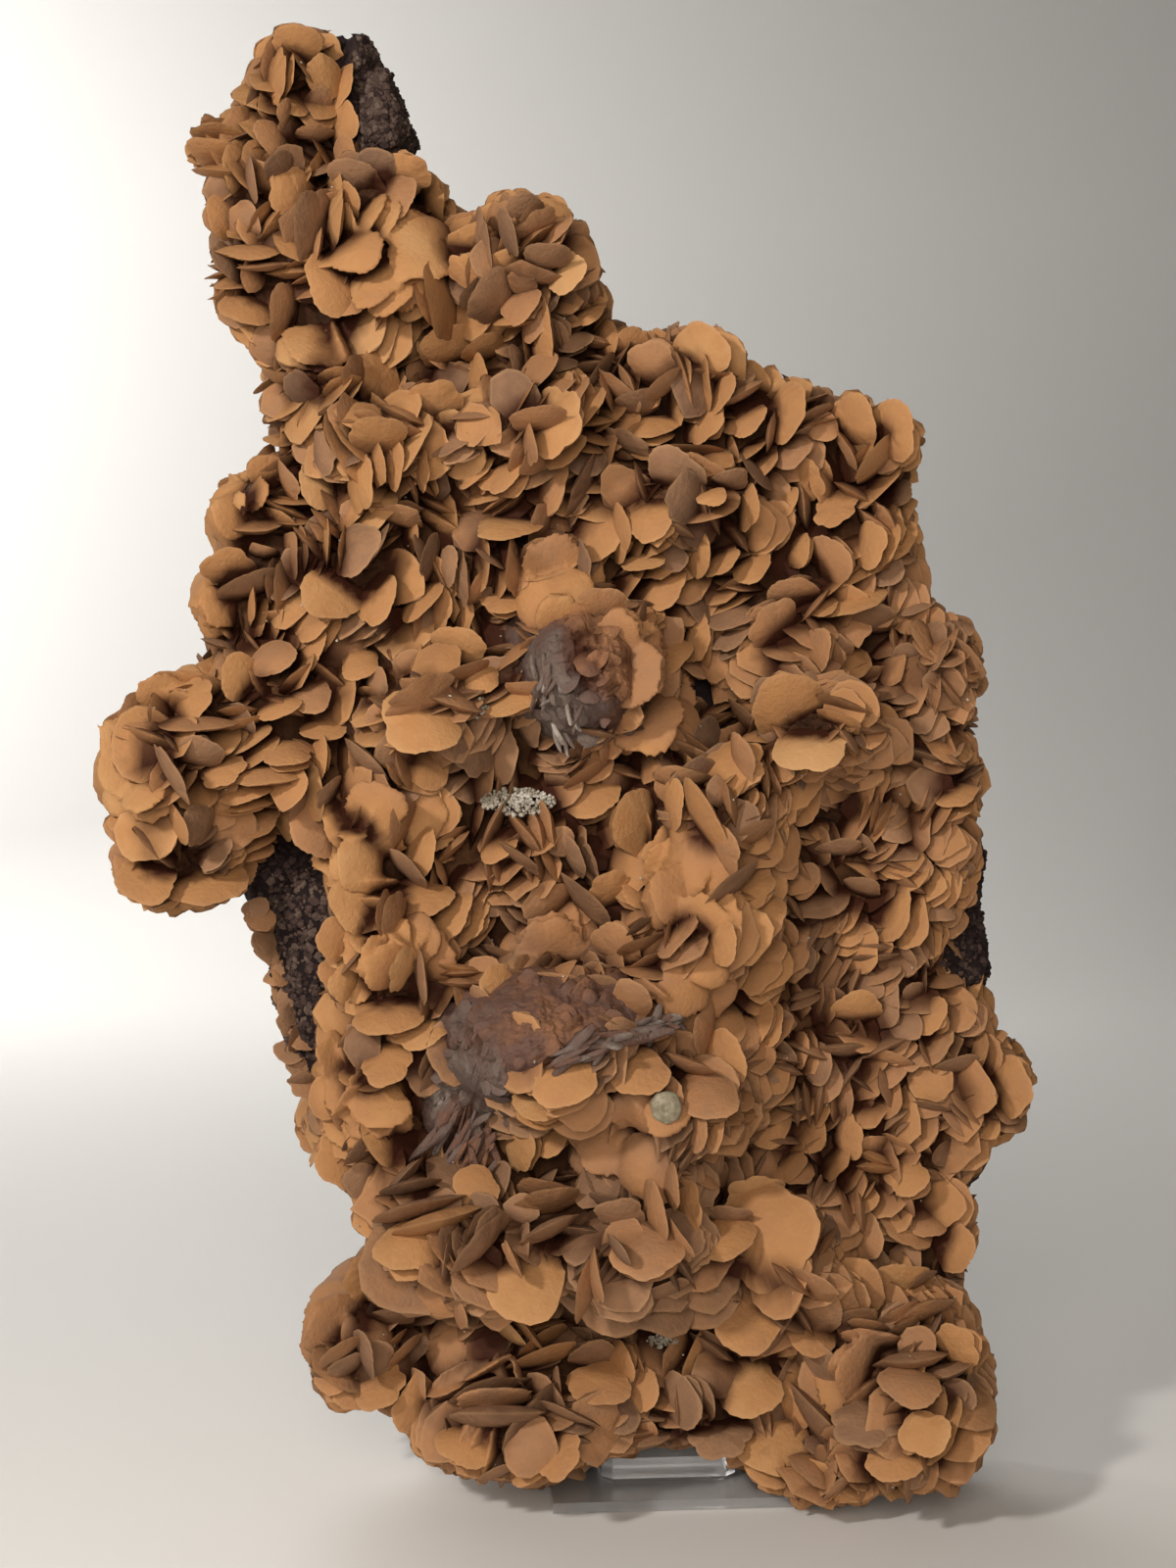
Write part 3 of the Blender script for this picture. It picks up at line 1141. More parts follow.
def crystal_tree():
    """The Geometry Nodes tree that sets a shape on each point, turned and sized by the point."""
    tree = bpy.data.node_groups.new("Crystals on points", "GeometryNodeTree")
    tree_input(tree, "Points", "NodeSocketGeometry")
    tree_input(tree, "Shapes", "NodeSocketCollection")
    tree_input(tree, "Finish", "NodeSocketMaterial")
    tree_input(tree, "Crystal size", "NodeSocketFloat", 1.0)
    tree_input(tree, "Thickness", "NodeSocketFloat", 0.17)
    tree_input(tree, "Wobble", "NodeSocketFloat", 0.08)
    tree_input(tree, "Seed", "NodeSocketInt", 3)
    tree.interface.new_socket("Crystals", in_out="OUTPUT", socket_type="NodeSocketGeometry")
    nodes, links = tree.nodes, tree.links

    def add(kind, **settings):
        node = nodes.new(kind)
        for name, value in settings.items():
            setattr(node, name, value)
        return node

    def named(name, kind):
        node = add("GeometryNodeInputNamedAttribute", data_type=kind)
        node.inputs["Name"].default_value = name
        return node.outputs["Attribute"]

    given = add("NodeGroupInput").outputs
    shapes = add("GeometryNodeCollectionInfo")
    shapes.inputs["Separate Children"].default_value = True
    shapes.inputs["Reset Children"].default_value = True
    links.new(given["Shapes"], shapes.inputs["Collection"])
    width = add("ShaderNodeMath", operation="MULTIPLY")
    links.new(named("radius", "FLOAT"), width.inputs[0])
    links.new(given["Crystal size"], width.inputs[1])
    height = add("ShaderNodeMath", operation="MULTIPLY")
    links.new(width.outputs[0], height.inputs[0])
    links.new(given["Thickness"], height.inputs[1])
    thick = add("ShaderNodeMath", operation="MULTIPLY")
    links.new(height.outputs[0], thick.inputs[0])
    links.new(named("plumpness", "FLOAT"), thick.inputs[1])
    size = add("ShaderNodeCombineXYZ")
    links.new(width.outputs[0], size.inputs[0])
    links.new(width.outputs[0], size.inputs[1])
    links.new(thick.outputs[0], size.inputs[2])
    on_points = add("GeometryNodeInstanceOnPoints")
    links.new(given["Points"], on_points.inputs["Points"])
    links.new(shapes.outputs[0], on_points.inputs["Instance"])
    on_points.inputs["Pick Instance"].default_value = True
    links.new(named("shape", "INT"), on_points.inputs["Instance Index"])
    links.new(named("turned", "FLOAT_VECTOR"), on_points.inputs["Rotation"])
    links.new(size.outputs[0], on_points.inputs["Scale"])
    swing = add("FunctionNodeRandomValue", data_type="FLOAT_VECTOR")
    less = add("ShaderNodeMath", operation="MULTIPLY")
    less.inputs[1].default_value = -1
    links.new(given["Wobble"], less.inputs[0])
    links.new(less.outputs[0], swing.inputs["Min"])
    links.new(given["Wobble"], swing.inputs["Max"])
    links.new(given["Seed"], swing.inputs["Seed"])
    wobble = add("GeometryNodeRotateInstances")
    links.new(on_points.outputs[0], wobble.inputs["Instances"])
    links.new(swing.outputs["Value"], wobble.inputs["Rotation"])
    real = add("GeometryNodeRealizeInstances")
    links.new(wobble.outputs[0], real.inputs[0])
    finish = add("GeometryNodeSetMaterial")
    links.new(real.outputs[0], finish.inputs["Geometry"])
    links.new(given["Finish"], finish.inputs["Material"])
    links.new(finish.outputs[0], add("NodeGroupOutput").inputs[0])
    return tree


def run_tree(made, tree, **values):
    """Puts the tree on an object, sets its inputs, and keeps the mesh that it makes."""
    step = made.modifiers.new("Tree", "NODES")
    step.node_group = tree
    for item in tree.interface.items_tree:
        key = item.name.lower().replace(" ", "_")
        if item.item_type == "SOCKET" and item.in_out == "INPUT" and key in values:
            step[item.identifier] = values[key]
    made.update_tag()
    return settle(made)


def turned_to(facing, raised):
    """The turn that points a shape's flat side along facing and its fine rim along raised."""
    if raised is None:
        raised = Vector((0.3, -1, 0.2))
    across = (raised - facing * raised.dot(facing)).normalized()
    return Matrix((across, facing.cross(across), facing)).transposed()


def set_crystals(name, crystals, family, finish, seed, dusty=True):
    """One piece: every crystal in the list, set on its point by the tree."""
    draw = random.Random(seed)
    mesh = bpy.data.meshes.new(name)
    mesh.from_pydata([c["middle"] for c in crystals], [], [])
    made = bpy.data.objects.new(name, mesh)
    bpy.context.scene.collection.objects.link(made)
    turned, radius, shape, stain, plump = [], [], [], [], []
    for crystal in crystals:
        spin = Matrix.Rotation(draw.gauss(0, 0.35), 3, "Z")
        turned.extend((turned_to(crystal["facing"], crystal.get("raised")) @ spin).to_euler())
        radius.append(crystal["radius"])
        shape.append(draw.randrange(len(family.objects)))
        stain.append(crystal["stain"])
        plump.append(crystal.get("plump", 1) * draw.uniform(0.75, 1.25))
    for key, kind, values in (
        ("turned", "FLOAT_VECTOR", turned),
        ("radius", "FLOAT", radius),
        ("shape", "INT", shape),
        ("stain", "FLOAT", stain),
        ("plumpness", "FLOAT", plump),
    ):
        field = "vector" if kind == "FLOAT_VECTOR" else "value"
        mesh.attributes.new(key, kind, "POINT").data.foreach_set(field, values)
    run_tree(made, grow_crystals, shapes=family, finish=finish, seed=seed)
    for key in ("turned", "radius", "shape", "plumpness"):
        if key in made.data.attributes:
            made.data.attributes.remove(made.data.attributes[key])
    if dusty:
        mark_depth(made)
    print(name, len(crystals), "crystals,", len(made.data.polygons), "faces")
    return made


grow_crystals = crystal_tree()

# %% [markdown]
# Every mineral here shares two effects: colours that drift in spots, and a fine grain that catches
# the light. They could be built again in each material, but one shader node group keeps them
# alike. A second group darkens whatever lies deep in the chinks, where dark iron dust settles.

# %% The effects that the minerals share
CHINK_TOP = 1.7 * MM
CHINK_DEPTH = 2.4 * MM
CHINK_COLOUR = (0.036, 0.009, 0.003)


def new_material(name):
    """A new material with its node tree and its shader."""
    made = bpy.data.materials.new(name)
    made.use_nodes = True
    return made, made.node_tree, made.node_tree.nodes["Principled BSDF"]


def node_of(tree, kind, **settings):
    """Adds a node of that kind to a tree, with its settings."""
    node = tree.nodes.new(kind)
    for name, value in settings.items():
        setattr(node, name, value)
    return node


def grain_group():
    """A node group with noise of two sizes: Spots for the colour and Height for the relief."""
    tree = bpy.data.node_groups.new("Mineral grain", "ShaderNodeTree")
    for label in ("Spot scale", "Grain scale"):
        tree.interface.new_socket(label, in_out="INPUT", socket_type="NodeSocketFloat")
    for label in ("Spots", "Height"):
        tree.interface.new_socket(label, in_out="OUTPUT", socket_type="NodeSocketFloat")
    given = node_of(tree, "NodeGroupInput").outputs
    results = node_of(tree, "NodeGroupOutput").inputs
    place = node_of(tree, "ShaderNodeTexCoord").outputs["Object"]
    for scale, result in (("Spot scale", "Spots"), ("Grain scale", "Height")):
        cloud = node_of(tree, "ShaderNodeTexNoise")
        cloud.inputs["Detail"].default_value = 6
        cloud.inputs["Roughness"].default_value = 0.6
        tree.links.new(place, cloud.inputs["Vector"])
        tree.links.new(given[scale], cloud.inputs["Scale"])
        tree.links.new(cloud.outputs["Fac"], results[result])
    return tree


def chink_group():
    """A node group that turns a colour to dark dust as the attribute depth rises to 1."""
    tree = bpy.data.node_groups.new("Chink dust", "ShaderNodeTree")
    for side in ("INPUT", "OUTPUT"):
        tree.interface.new_socket("Colour", in_out=side, socket_type="NodeSocketColor")
    given = node_of(tree, "NodeGroupInput").outputs
    results = node_of(tree, "NodeGroupOutput").inputs
    depth = node_of(tree, "ShaderNodeAttribute", attribute_name="depth")
    mixed = node_of(tree, "ShaderNodeMix", data_type="RGBA")
    mixed.inputs["B"].default_value = (*CHINK_COLOUR, 1)
    tree.links.new(depth.outputs["Fac"], mixed.inputs["Factor"])
    tree.links.new(given["Colour"], mixed.inputs["A"])
    tree.links.new(mixed.outputs["Result"], results["Colour"])
    return tree


mineral_grain = grain_group()
chink_dust = chink_group()


def mark_depth(made):
    """Writes how deep each corner lies under the crystals' rims, from 0 to 1, for the dust."""
    deep = []
    for vertex in made.data.vertices:
        near, normal = lobe_skin.find_nearest(vertex.co)[:2]
        under = envelope_at(near, normal) - (vertex.co - near).dot(normal)
        deep.append(min(1.0, max(0.0, (under - CHINK_TOP) / CHINK_DEPTH)))
    made.data.attributes.new("depth", "FLOAT", "POINT").data.foreach_set("value", deep)


# %% [markdown]
# A finish reads a ramp of colours. Where on the ramp it reads comes from an attribute of the
# piece, such as each crystal's stain, and the drifting spots shift it up and down. Siderite is
# dull: tan to ochre-brown faces, and paler where the rims are thin.

# %% The mineral finishes
PALE_RIM = (0.56, 0.34, 0.17)


def mineral_finish(name, colours, by=None, drift=1.0, scales=(75, 600), relief=0.0006, roughness=0.85,
                   pale_rim=0.0):
    """A dull mineral whose colours are read at the attribute named in by, or at the spots alone."""
    made, tree, shader = new_material(name)
    effects = node_of(tree, "ShaderNodeGroup", node_tree=mineral_grain)
    effects.inputs["Spot scale"].default_value = scales[0]
    effects.inputs["Grain scale"].default_value = scales[1]
    where = node_of(tree, "ShaderNodeMath", operation="MULTIPLY_ADD")
    where.inputs[1].default_value = drift
    where.inputs[2].default_value = 0.5 - drift / 2
    tree.links.new(effects.outputs["Spots"], where.inputs[0])
    if by:
        start = node_of(tree, "ShaderNodeAttribute", attribute_name=by)
        less = node_of(tree, "ShaderNodeMath", operation="SUBTRACT")
        less.inputs[1].default_value = drift / 2
        tree.links.new(start.outputs["Fac"], less.inputs[0])
        tree.links.new(less.outputs[0], where.inputs[2])
    ramp = node_of(tree, "ShaderNodeValToRGB")
    for number, (at, colour) in enumerate(colours):
        stops = ramp.color_ramp.elements
        stop = stops[number] if number < 2 else stops.new(at)
        stop.position = at
        stop.color = (*colour, 1)
    tree.links.new(where.outputs[0], ramp.inputs["Fac"])
    colour = ramp.outputs["Color"]
    if pale_rim:
        reach = node_of(tree, "ShaderNodeAttribute", attribute_name="reach")
        rim = node_of(tree, "ShaderNodeMapRange")
        rim.inputs["From Min"].default_value = 0.84
        rim.inputs["To Max"].default_value = pale_rim
        tree.links.new(reach.outputs["Fac"], rim.inputs["Value"])
        lit = node_of(tree, "ShaderNodeMix", data_type="RGBA")
        lit.inputs["B"].default_value = (*PALE_RIM, 1)
        tree.links.new(rim.outputs["Result"], lit.inputs["Factor"])
        tree.links.new(colour, lit.inputs["A"])
        colour = lit.outputs["Result"]
    dusty = node_of(tree, "ShaderNodeGroup", node_tree=chink_dust)
    tree.links.new(colour, dusty.inputs["Colour"])
    tree.links.new(dusty.outputs["Colour"], shader.inputs["Base Color"])
    bump = node_of(tree, "ShaderNodeBump")
    bump.inputs["Distance"].default_value = relief
    tree.links.new(effects.outputs["Height"], bump.inputs["Height"])
    tree.links.new(bump.outputs["Normal"], shader.inputs["Normal"])
    shader.inputs["Roughness"].default_value = roughness
    shader.inputs["Specular IOR Level"].default_value = 0.18
    return made


siderite = mineral_finish("siderite_crystal", (
    (0.0, (0.46, 0.260, 0.115)), (0.3, (0.39, 0.194, 0.077)), (0.5, (0.34, 0.168, 0.076)),
    (0.72, (0.270, 0.146, 0.078)), (1.0, (0.16, 0.090, 0.053))),
    by="stain", drift=0.6, scales=(130, 900), relief=0.0003, roughness=0.75, pale_rim=0.22)
print("finish:", siderite.name)

# %% [markdown]
# In some places the crystals have grown into one another, like petals of one soft mass, and no
# gap is left between them. There they are melted: a voxel remesh makes one skin of all of them,
# some rounds of smoothing soften the seams, and the faces are brought down to about a third. The
# other crystals stay sharp, and they are made band by band, from the spur down to the foot.

# %% Melt some crystals and set the others
MERGED_FROM = 0.5
MERGED_LEAN = 50
MERGED_VOXEL = 0.65 * MM
MERGED_ROUNDING = 4
MERGED_SHARE = 0.36
MERGED_SPOTTY = 0.3
BANDS = {
    "spur": (0, 340),
    "upper": (340, 620),
    "middle": (620, 900),
    "shelf": (900, 1190),
    "skirt": (1190, 1360),
    "foot": (1360, 1600),
}


def is_merged(disc):
    """Whether a crystal lies where they are grown together, and isn't a blade set by hand."""
    return smooth_at(*seen_at(disc["middle"])) > MERGED_FROM and disc.get("lean", 0) < MERGED_LEAN


def melted(made, finish):
    """Melts a piece's crystals into each other, rounds the seams, and stains them anew."""
    skin = made.modifiers.new("Melted together", "REMESH")
    skin.mode = "VOXEL"
    skin.voxel_size = MERGED_VOXEL
    skin.use_smooth_shade = True
    rounded = made.modifiers.new("Rounded seams", "SMOOTH")
    rounded.factor = 0.5
    rounded.iterations = MERGED_ROUNDING
    fewer = made.modifiers.new("Fewer faces", "DECIMATE")
    fewer.ratio = MERGED_SHARE
    settle(made)
    made.data.materials.clear()
    made.data.materials.append(finish)
    for face in made.data.polygons:
        face.use_smooth = True
    for old_values in ("stain", "depth"):
        if old_values in made.data.attributes:
            made.data.attributes.remove(made.data.attributes[old_values])
    stains = [region_stain(v.co) + MERGED_SPOTTY * noise.noise(v.co / ENVELOPE_CELL)
              for v in made.data.vertices]
    made.data.attributes.new("stain", "FLOAT", "POINT").data.foreach_set("value", stains)
    mark_depth(made)
    print(made.name, len(made.data.polygons), "faces after melting")
    return made


merged = [disc for disc in scattered + standouts if is_merged(disc)]
scattered = [disc for disc in scattered if not is_merged(disc)]
standouts = [disc for disc in standouts if not is_merged(disc)]
crystal_pieces = []
for seed, (name, (top, bottom)) in enumerate(BANDS.items(), 20):
    inside = [c for c in scattered if top <= seen_at(c["middle"])[1] < bottom]
    crystal_pieces.append(set_crystals(f"crystals_{name}", inside, small_shapes, siderite, seed))
crystal_pieces.append(set_crystals("crystals_standing_out", standouts, large_shapes, siderite, 40))
soft = set_crystals("crystals_merged", merged, large_shapes, siderite, 41)
crystal_pieces.append(melted(soft, siderite))

# %% [markdown]
# Where the crust was knocked, the crystals are gone and their broken roots show, rough and
# purplish. Each scar is a patch of its own: spokes and rings of points over an oval of the view,
# dropped on the skin along the line of sight, roughened, and closed behind so that it is a solid.
# Its colour runs from orange-brown over purple to grey, as a few hand-placed spots say.

# %% The scars
SCAR_RINGS = 52
SCAR_SPOKES = 140
SCAR_BACK = 5 * MM
SCAR_RIM_SUNK = 2.6 * MM
ZONE_SPOTS = (
    (560, 690, 34, 0.80),
    (590, 740, 30, 0.95),
    (560, 655, 22, 0.75),
    (620, 640, 44, 0.05),
    (650, 690, 26, 0.15),
    (625, 735, 28, 0.50),
    (530, 780, 30, 0.60),
    (580, 985, 46, 0.45),
    (570, 1045, 40, 0.30),
    (520, 1058, 30, 0.40),
    (625, 1010, 40, 0.42),
    (470, 1080, 40, 0.75),
    (450, 1130, 34, 0.88),
    (500, 1110, 30, 0.80),
    (660, 1060, 30, 0.70),
)


def zone_at(across, down):
    """Where a scar's colour lies there, between 0 for orange-brown and 1 for grey."""
    zone, weight = 0.1, 0.2
    for spot, pull in pulled(across, down, ZONE_SPOTS):
        zone, weight = zone + spot[3] * pull, weight + pull
    return zone / weight


def scar_height(u, v, share, proud, relief, cell, stretch, shift):
    """How far a scar stands off the skin: lumps, cracks between them, and broken edges."""
    place = Vector((u / cell, v / cell / stretch, 0)) + shift
    lumps = noise.fractal(place * 0.6, 0.8, 2.1, 5)
    cracks = noise.ridged_multi_fractal(place * 1.1, 0.8, 2.2, 4, 1.0, 2.0)
    chips = noise.cell(place * 2.2) - 0.5
    rough = 0.9 * lumps - 0.55 * max(0.0, cracks - 1.2) + 0.3 * chips
    fade = max(0.0, 1 - share ** 6)
    return (proud + relief * rough) * fade - SCAR_RIM_SUNK * (1 - fade)


def scar(name, oval, proud, relief, cell, stretch, seed, finish):
    """A rough patch over an oval of the view: (across, down, half width, half height, turn)."""
    across, down, half_width, half_height, turn = oval
    turn = math.radians(turn)
    shift = Vector((seed * 3.1, seed * 1.7, seed * 2.3))
    bm = bmesh.new()
    zones = []

    def corner(u, v, share):
        a = across + u * math.cos(turn) - v * math.sin(turn)
        d = down + u * math.sin(turn) + v * math.cos(turn)
        point = front_of(lobe_skin, a, d)
        height = scar_height(u, v, share, proud, relief, cell, stretch, shift)
        zones.append(zone_at(a, d))
        return bm.verts.new(point + (EYE - point).normalized() * height)

    rows = []
    for ring in range(1, SCAR_RINGS + 1):
        share = ring / SCAR_RINGS
        row = []
        for spoke in range(SCAR_SPOKES):
            angle = math.tau * spoke / SCAR_SPOKES
            way = Vector((math.cos(angle), math.sin(angle), 0))
            ragged = 1 + 0.3 * noise.noise(way * 1.8 + shift) + 0.14 * noise.noise(way * 6 + shift)
            row.append(corner(way.x * share * half_width * ragged,
                              way.y * share * half_height * ragged, share))
        rows.append(row)
    middle = corner(0, 0, 0)
    back = bm.verts.new(middle.co + Vector((0, SCAR_BACK + proud, 0)))
    zones.append(0.5)
    for spoke in range(SCAR_SPOKES):
        after = (spoke + 1) % SCAR_SPOKES
        bm.faces.new((middle, rows[0][spoke], rows[0][after]))
        bm.faces.new((back, rows[-1][after], rows[-1][spoke]))
        for near, far in zip(rows, rows[1:]):
            bm.faces.new((near[spoke], far[spoke], far[after], near[after]))
    bmesh.ops.recalc_face_normals(bm, faces=bm.faces[:])
    for face in bm.faces:
        face.smooth = True
    made = object_of(name, bm)
    made.data.attributes.new("zone", "FLOAT", "POINT").data.foreach_set("value", zones)
    mark_depth(made)
    made.data.materials.append(finish)
    print(name, len(made.data.polygons), "faces")
    return made


broken_finish = mineral_finish("broken_siderite", (
    (0.0, (0.31, 0.155, 0.070)), (0.25, (0.22, 0.105, 0.055)), (0.48, (0.135, 0.072, 0.052)),
    (0.68, (0.125, 0.084, 0.070)), (0.86, (0.16, 0.125, 0.105)), (1.0, (0.33, 0.29, 0.25))),
    by="zone", drift=0.9, scales=(160, 700), relief=0.0007, roughness=0.8)
scars = [
    scar("scar_upper", (590, 692, 66, 82, -10), 0.5 * MM, 2.4 * MM, 17, 1.4, 1, broken_finish),
    scar("scar_shelf", (560, 1036, 112, 58, -6), 0.8 * MM, 2.0 * MM, 19, 1.0, 3, broken_finish),
    scar("scar_shelf_low", (480, 1112, 42, 72, 14), 1.2 * MM, 2.2 * MM, 15, 2.6, 4, broken_finish),
]

# %% [markdown]
# A scar alone looks like a pebble. The real ones hold the stumps of broken crystals and bundles
# of long splinters, so small crystals are sunk in them until only their corners show, and narrow
# ones are laid side by side where the mineral breaks in columns and in a dark strip. Their stain
# is copied to the attribute that the scars' finish reads.

# %% Stumps and splinters in the scars
STUMP_SPOTS = (
    (604, 700, 60, 64, 26),
    (560, 1040, 96, 48, 30),
    (482, 1110, 38, 60, 24),
)
SPLINTER_BUNDLES = (
    (628, 1060, 17, 18, 46, 46, 9, 0.70),
    (592, 1074, 22, 10, 30, 22, 9, 0.66),
    (668, 1046, 20, 10, 34, 22, 7, 0.80),
    (462, 1158, 242, 26, 40, 22, 20, 0.66),
    (486, 1178, 250, 16, 36, 18, 18, 0.50),
    (548, 700, 80, 12, 26, 22, 16, 0.76),
    (578, 745, 100, 10, 22, 18, 16, 0.80),
    (592, 590, 84, 3, 26, 3, 2, 0.70),
)


def stumps():
    """Small crystals sunk in the scars, turned any way."""
    draw = random.Random(13)
    made = []
    for across, down, half_width, half_height, count in STUMP_SPOTS:
        for _ in range(count):
            angle, share = draw.uniform(0, math.tau), math.sqrt(draw.random())
            a = across + half_width * share * math.cos(angle)
            d = down + half_height * share * math.sin(angle)
            size = draw.triangular(1.2, 4.2, 2.2) * MM
            height = 1.2 * MM + (draw.uniform(0.0, 1.0) * MM - size * 0.6)
            point = front_of(lobe_skin, a, d)
            made.append({"middle": point + (EYE - point).normalized() * height,
                         "facing": facing_of(draw.uniform(0, 360), draw.triangular(10, 90, 50)),
                         "radius": size, "stain": zone_at(a, d), "plump": draw.uniform(1.0, 2.2)})
    return made


def splinters():
    """Bundles of narrow crystals, each bundle lying one way: (across, down, turn, count, ...)."""
    draw = random.Random(17)
    made = []
    for across, down, turn, count, length, along, aside, zone in SPLINTER_BUNDLES:
        for _ in range(count):
            swing = turn + draw.gauss(0, 6)
            ahead, beside = draw.uniform(-along, along), draw.uniform(-aside, aside)
            cos, sin = math.cos(math.radians(turn)), math.sin(math.radians(turn))
            a = across + ahead * cos - beside * sin
            d = down - ahead * sin - beside * cos
            point = front_of(lobe_skin, a, d)
            way = Vector((math.cos(math.radians(swing)), draw.gauss(-0.1, 0.15),
                          math.sin(math.radians(swing))))
            made.append({"middle": point + (EYE - point).normalized() * draw.uniform(1.2, 2.8) * MM,
                         "facing": facing_of(turn + 90, draw.gauss(10, 30)), "raised": way,
                         "radius": length * draw.uniform(0.5, 0.9) * step_at(point),
                         "stain": zone + draw.uniform(-0.15, 0.15),
                         "plump": draw.uniform(0.7, 1.2)})
    return made


splinter_shapes = shape_family("splinter", 6, squeeze=0.2)
stump_pieces = [
    set_crystals("stumps", stumps(), small_shapes, broken_finish, 51),
    set_crystals("splinters", splinters(), splinter_shapes, broken_finish, 52),
]
for piece in stump_pieces:
    stain = piece.data.attributes["stain"]
    values = [item.value for item in stain.data]
    piece.data.attributes.new("zone", "FLOAT", "POINT").data.foreach_set("value", values)

# %% [markdown]
# The matrix rock fills the recess under the left lobe, the right edge, the side of the spur and
# all of the back. It is made the way the lobes were, as overlapping lumps made one. Then it is
# roughened, cut flat where the rock broke, and roughened again more finely, so that the broken
# faces keep their corners but aren't smooth. The bed gets a finish as dark as a chink.

# %% The bed and the rock
SPUR_HEEL = (392, 196, -12)
SPUR_CUTS = (
    ((392, 76, -12), (0.92, -0.1, 0.34)),
    ((378, 50, -12), (0.85, -0.1, 0.53)),
    ((366, 34, -12), (0.3, -0.1, 0.95)),
)
BROKEN_FACES = (
    ((0, 5.7, 2.2), (0.00, 1.00, -0.105)),
    ((34, 14, 205), (0.30, 1.00, 0.10)),
    ((-58, 11, 150), (-0.46, 1.00, -0.12)),
    ((-30, 14, 235), (-0.18, 1.00, 0.14)),
    ((62, 12, 92), (0.60, 1.00, -0.10)),
    ((-68, 8, 60), (-0.75, 1.00, -0.25)),
    ((8, 15, 165), (0.08, 1.00, 0.13)),
    ((-70, 4, 310), (-0.50, 1.00, 0.05)),
)


def broken(made, planes, above=0.0):
    """Presses every corner that stands out of a broken face, and above a height, back onto it."""
    for vertex in made.data.vertices:
        if vertex.co.z < above:
            continue
        for point, way in planes:
            over = (vertex.co - point).dot(way)
            if over > 0:
                vertex.co -= way * over


def rock_stain(point):
    """Purple at the spur, nearly black in front, and lighter in patches on the broken back."""
    across, down = seen_at(point)
    spur = math.exp(-(math.hypot(across - 390, (down - 100) * 0.6) / 45) ** 4)
    back = min(1.0, max(0.0, (point.y + 15 * MM) / (15 * MM)))
    patch = 0.5 + noise.noise(point / (26 * MM)) + 0.5 * noise.noise(point / (8 * MM))
    return max(0.62 * spur, back * (0.3 + 0.5 * patch))


bed.data.materials.append(mineral_finish("crust_bed_finish", (
    (0.35, (0.02, 0.008, 0.003)), (0.5, (0.05, 0.02, 0.008)), (0.65, (0.10, 0.045, 0.018)))))
rock = grown_together("matrix_rock_face", ROCK_LOBES, ROCK_VOXEL)
roughened(rock, 0, ((17 * MM, 4 * MM), (7 * MM, 2 * MM)))
broken(rock, [(Vector(p) * MM, Vector(n).normalized()) for p, n in BROKEN_FACES])
broken(rock, [(sight(*p), Vector(n).normalized()) for p, n in SPUR_CUTS], sight(*SPUR_HEEL).z)
roughened(rock, 0, ((5 * MM, 1.4 * MM), (2.2 * MM, 0.7 * MM)))
rock_finish = mineral_finish("matrix_rock", (
    (0.0, (0.012, 0.007, 0.007)), (0.3, (0.024, 0.014, 0.013)), (0.6, (0.070, 0.044, 0.036)),
    (1.0, (0.15, 0.11, 0.085))), by="stain", drift=0.5, scales=(75, 380), relief=0.0012)
rock.data.materials.append(rock_finish)
stains = [rock_stain(vertex.co) for vertex in rock.data.vertices]
rock.data.attributes.new("stain", "FLOAT", "POINT").data.foreach_set("value", stains)
print("matrix_rock_face", len(rock.data.polygons), "faces")

# %% [markdown]
# The rock shows at three places of the front: under the left lobe, along the right edge and at
# the spur. There it is made of small hard grains. They are scattered over the rock by the same
# kind of tree as the crystals, with lumps of twenty faces for shapes.

# %% Grains on the rock
GRAIN_SPOTS = (
    (304, 984, 62, 96, 0.48),
    (300, 890, 60, 30, 0.2),
    (990, 945, 50, 110, 0.25),
    (394, 100, 40, 76, 0.5),
)
GRAIN_COUNT = 5800
GRAIN_SAMPLES = 60000
GRAIN_SHAPES = 6


def grain_shape(name, seed):
    """A lump of twenty faces, squeezed and dented a little."""
    draw = random.Random(seed)
    bm = bmesh.new()
    bmesh.ops.create_icosphere(bm, subdivisions=1, radius=1)
    for corner in bm.verts:
        corner.co *= draw.uniform(0.75, 1.2)
    mesh = bpy.data.meshes.new(name)
    bm.to_mesh(mesh)
    bm.free()
    return bpy.data.objects.new(name, mesh)


def rock_grains(family):
    """Grains on the rock inside the ovals of GRAIN_SPOTS: (across, down, half sizes, stain)."""
    draw = random.Random(3)
    faces = [f for f in rock.data.polygons if f.normal.y < 0.4]
    chosen = draw.choices(faces, weights=[f.area for f in faces], k=GRAIN_SAMPLES)
    grains = []
    for face in chosen:
        across, down = seen_at(face.center)
        stains = [stain for a, d, w, h, stain in GRAIN_SPOTS
                  if ((across - a) / w) ** 2 + ((down - d) / h) ** 2 < 1]
        if len(grains) < GRAIN_COUNT and stains:
            jitter = Vector([draw.uniform(-1.2, 1.2) * MM for _ in range(3)])
            jitter -= face.normal * jitter.dot(face.normal)
            grains.append({"middle": face.center + jitter, "facing": face.normal.copy(),
                           "radius": draw.triangular(0.3, 1.3, 0.55) * MM,
                           "stain": stains[0] + draw.uniform(-0.25, 0.35), "plump": 5.0})
    return set_crystals("rock_grains", grains, family, rock_finish, 9, dusty=False)


grain_shapes = bpy.data.collections.new("grain")
for number in range(GRAIN_SHAPES):
    grain_shapes.objects.link(grain_shape(f"grain_{number}", 60 + number))
grains = rock_grains(grain_shapes)

# %% [markdown]
# On the left edge of that rock small pinkish crystals hold on. A pale quartz crust sits in a few
# hollows, and sparks of it lie on many crystals, where they catch the light. The lumps of the
# grains serve again as their shapes.

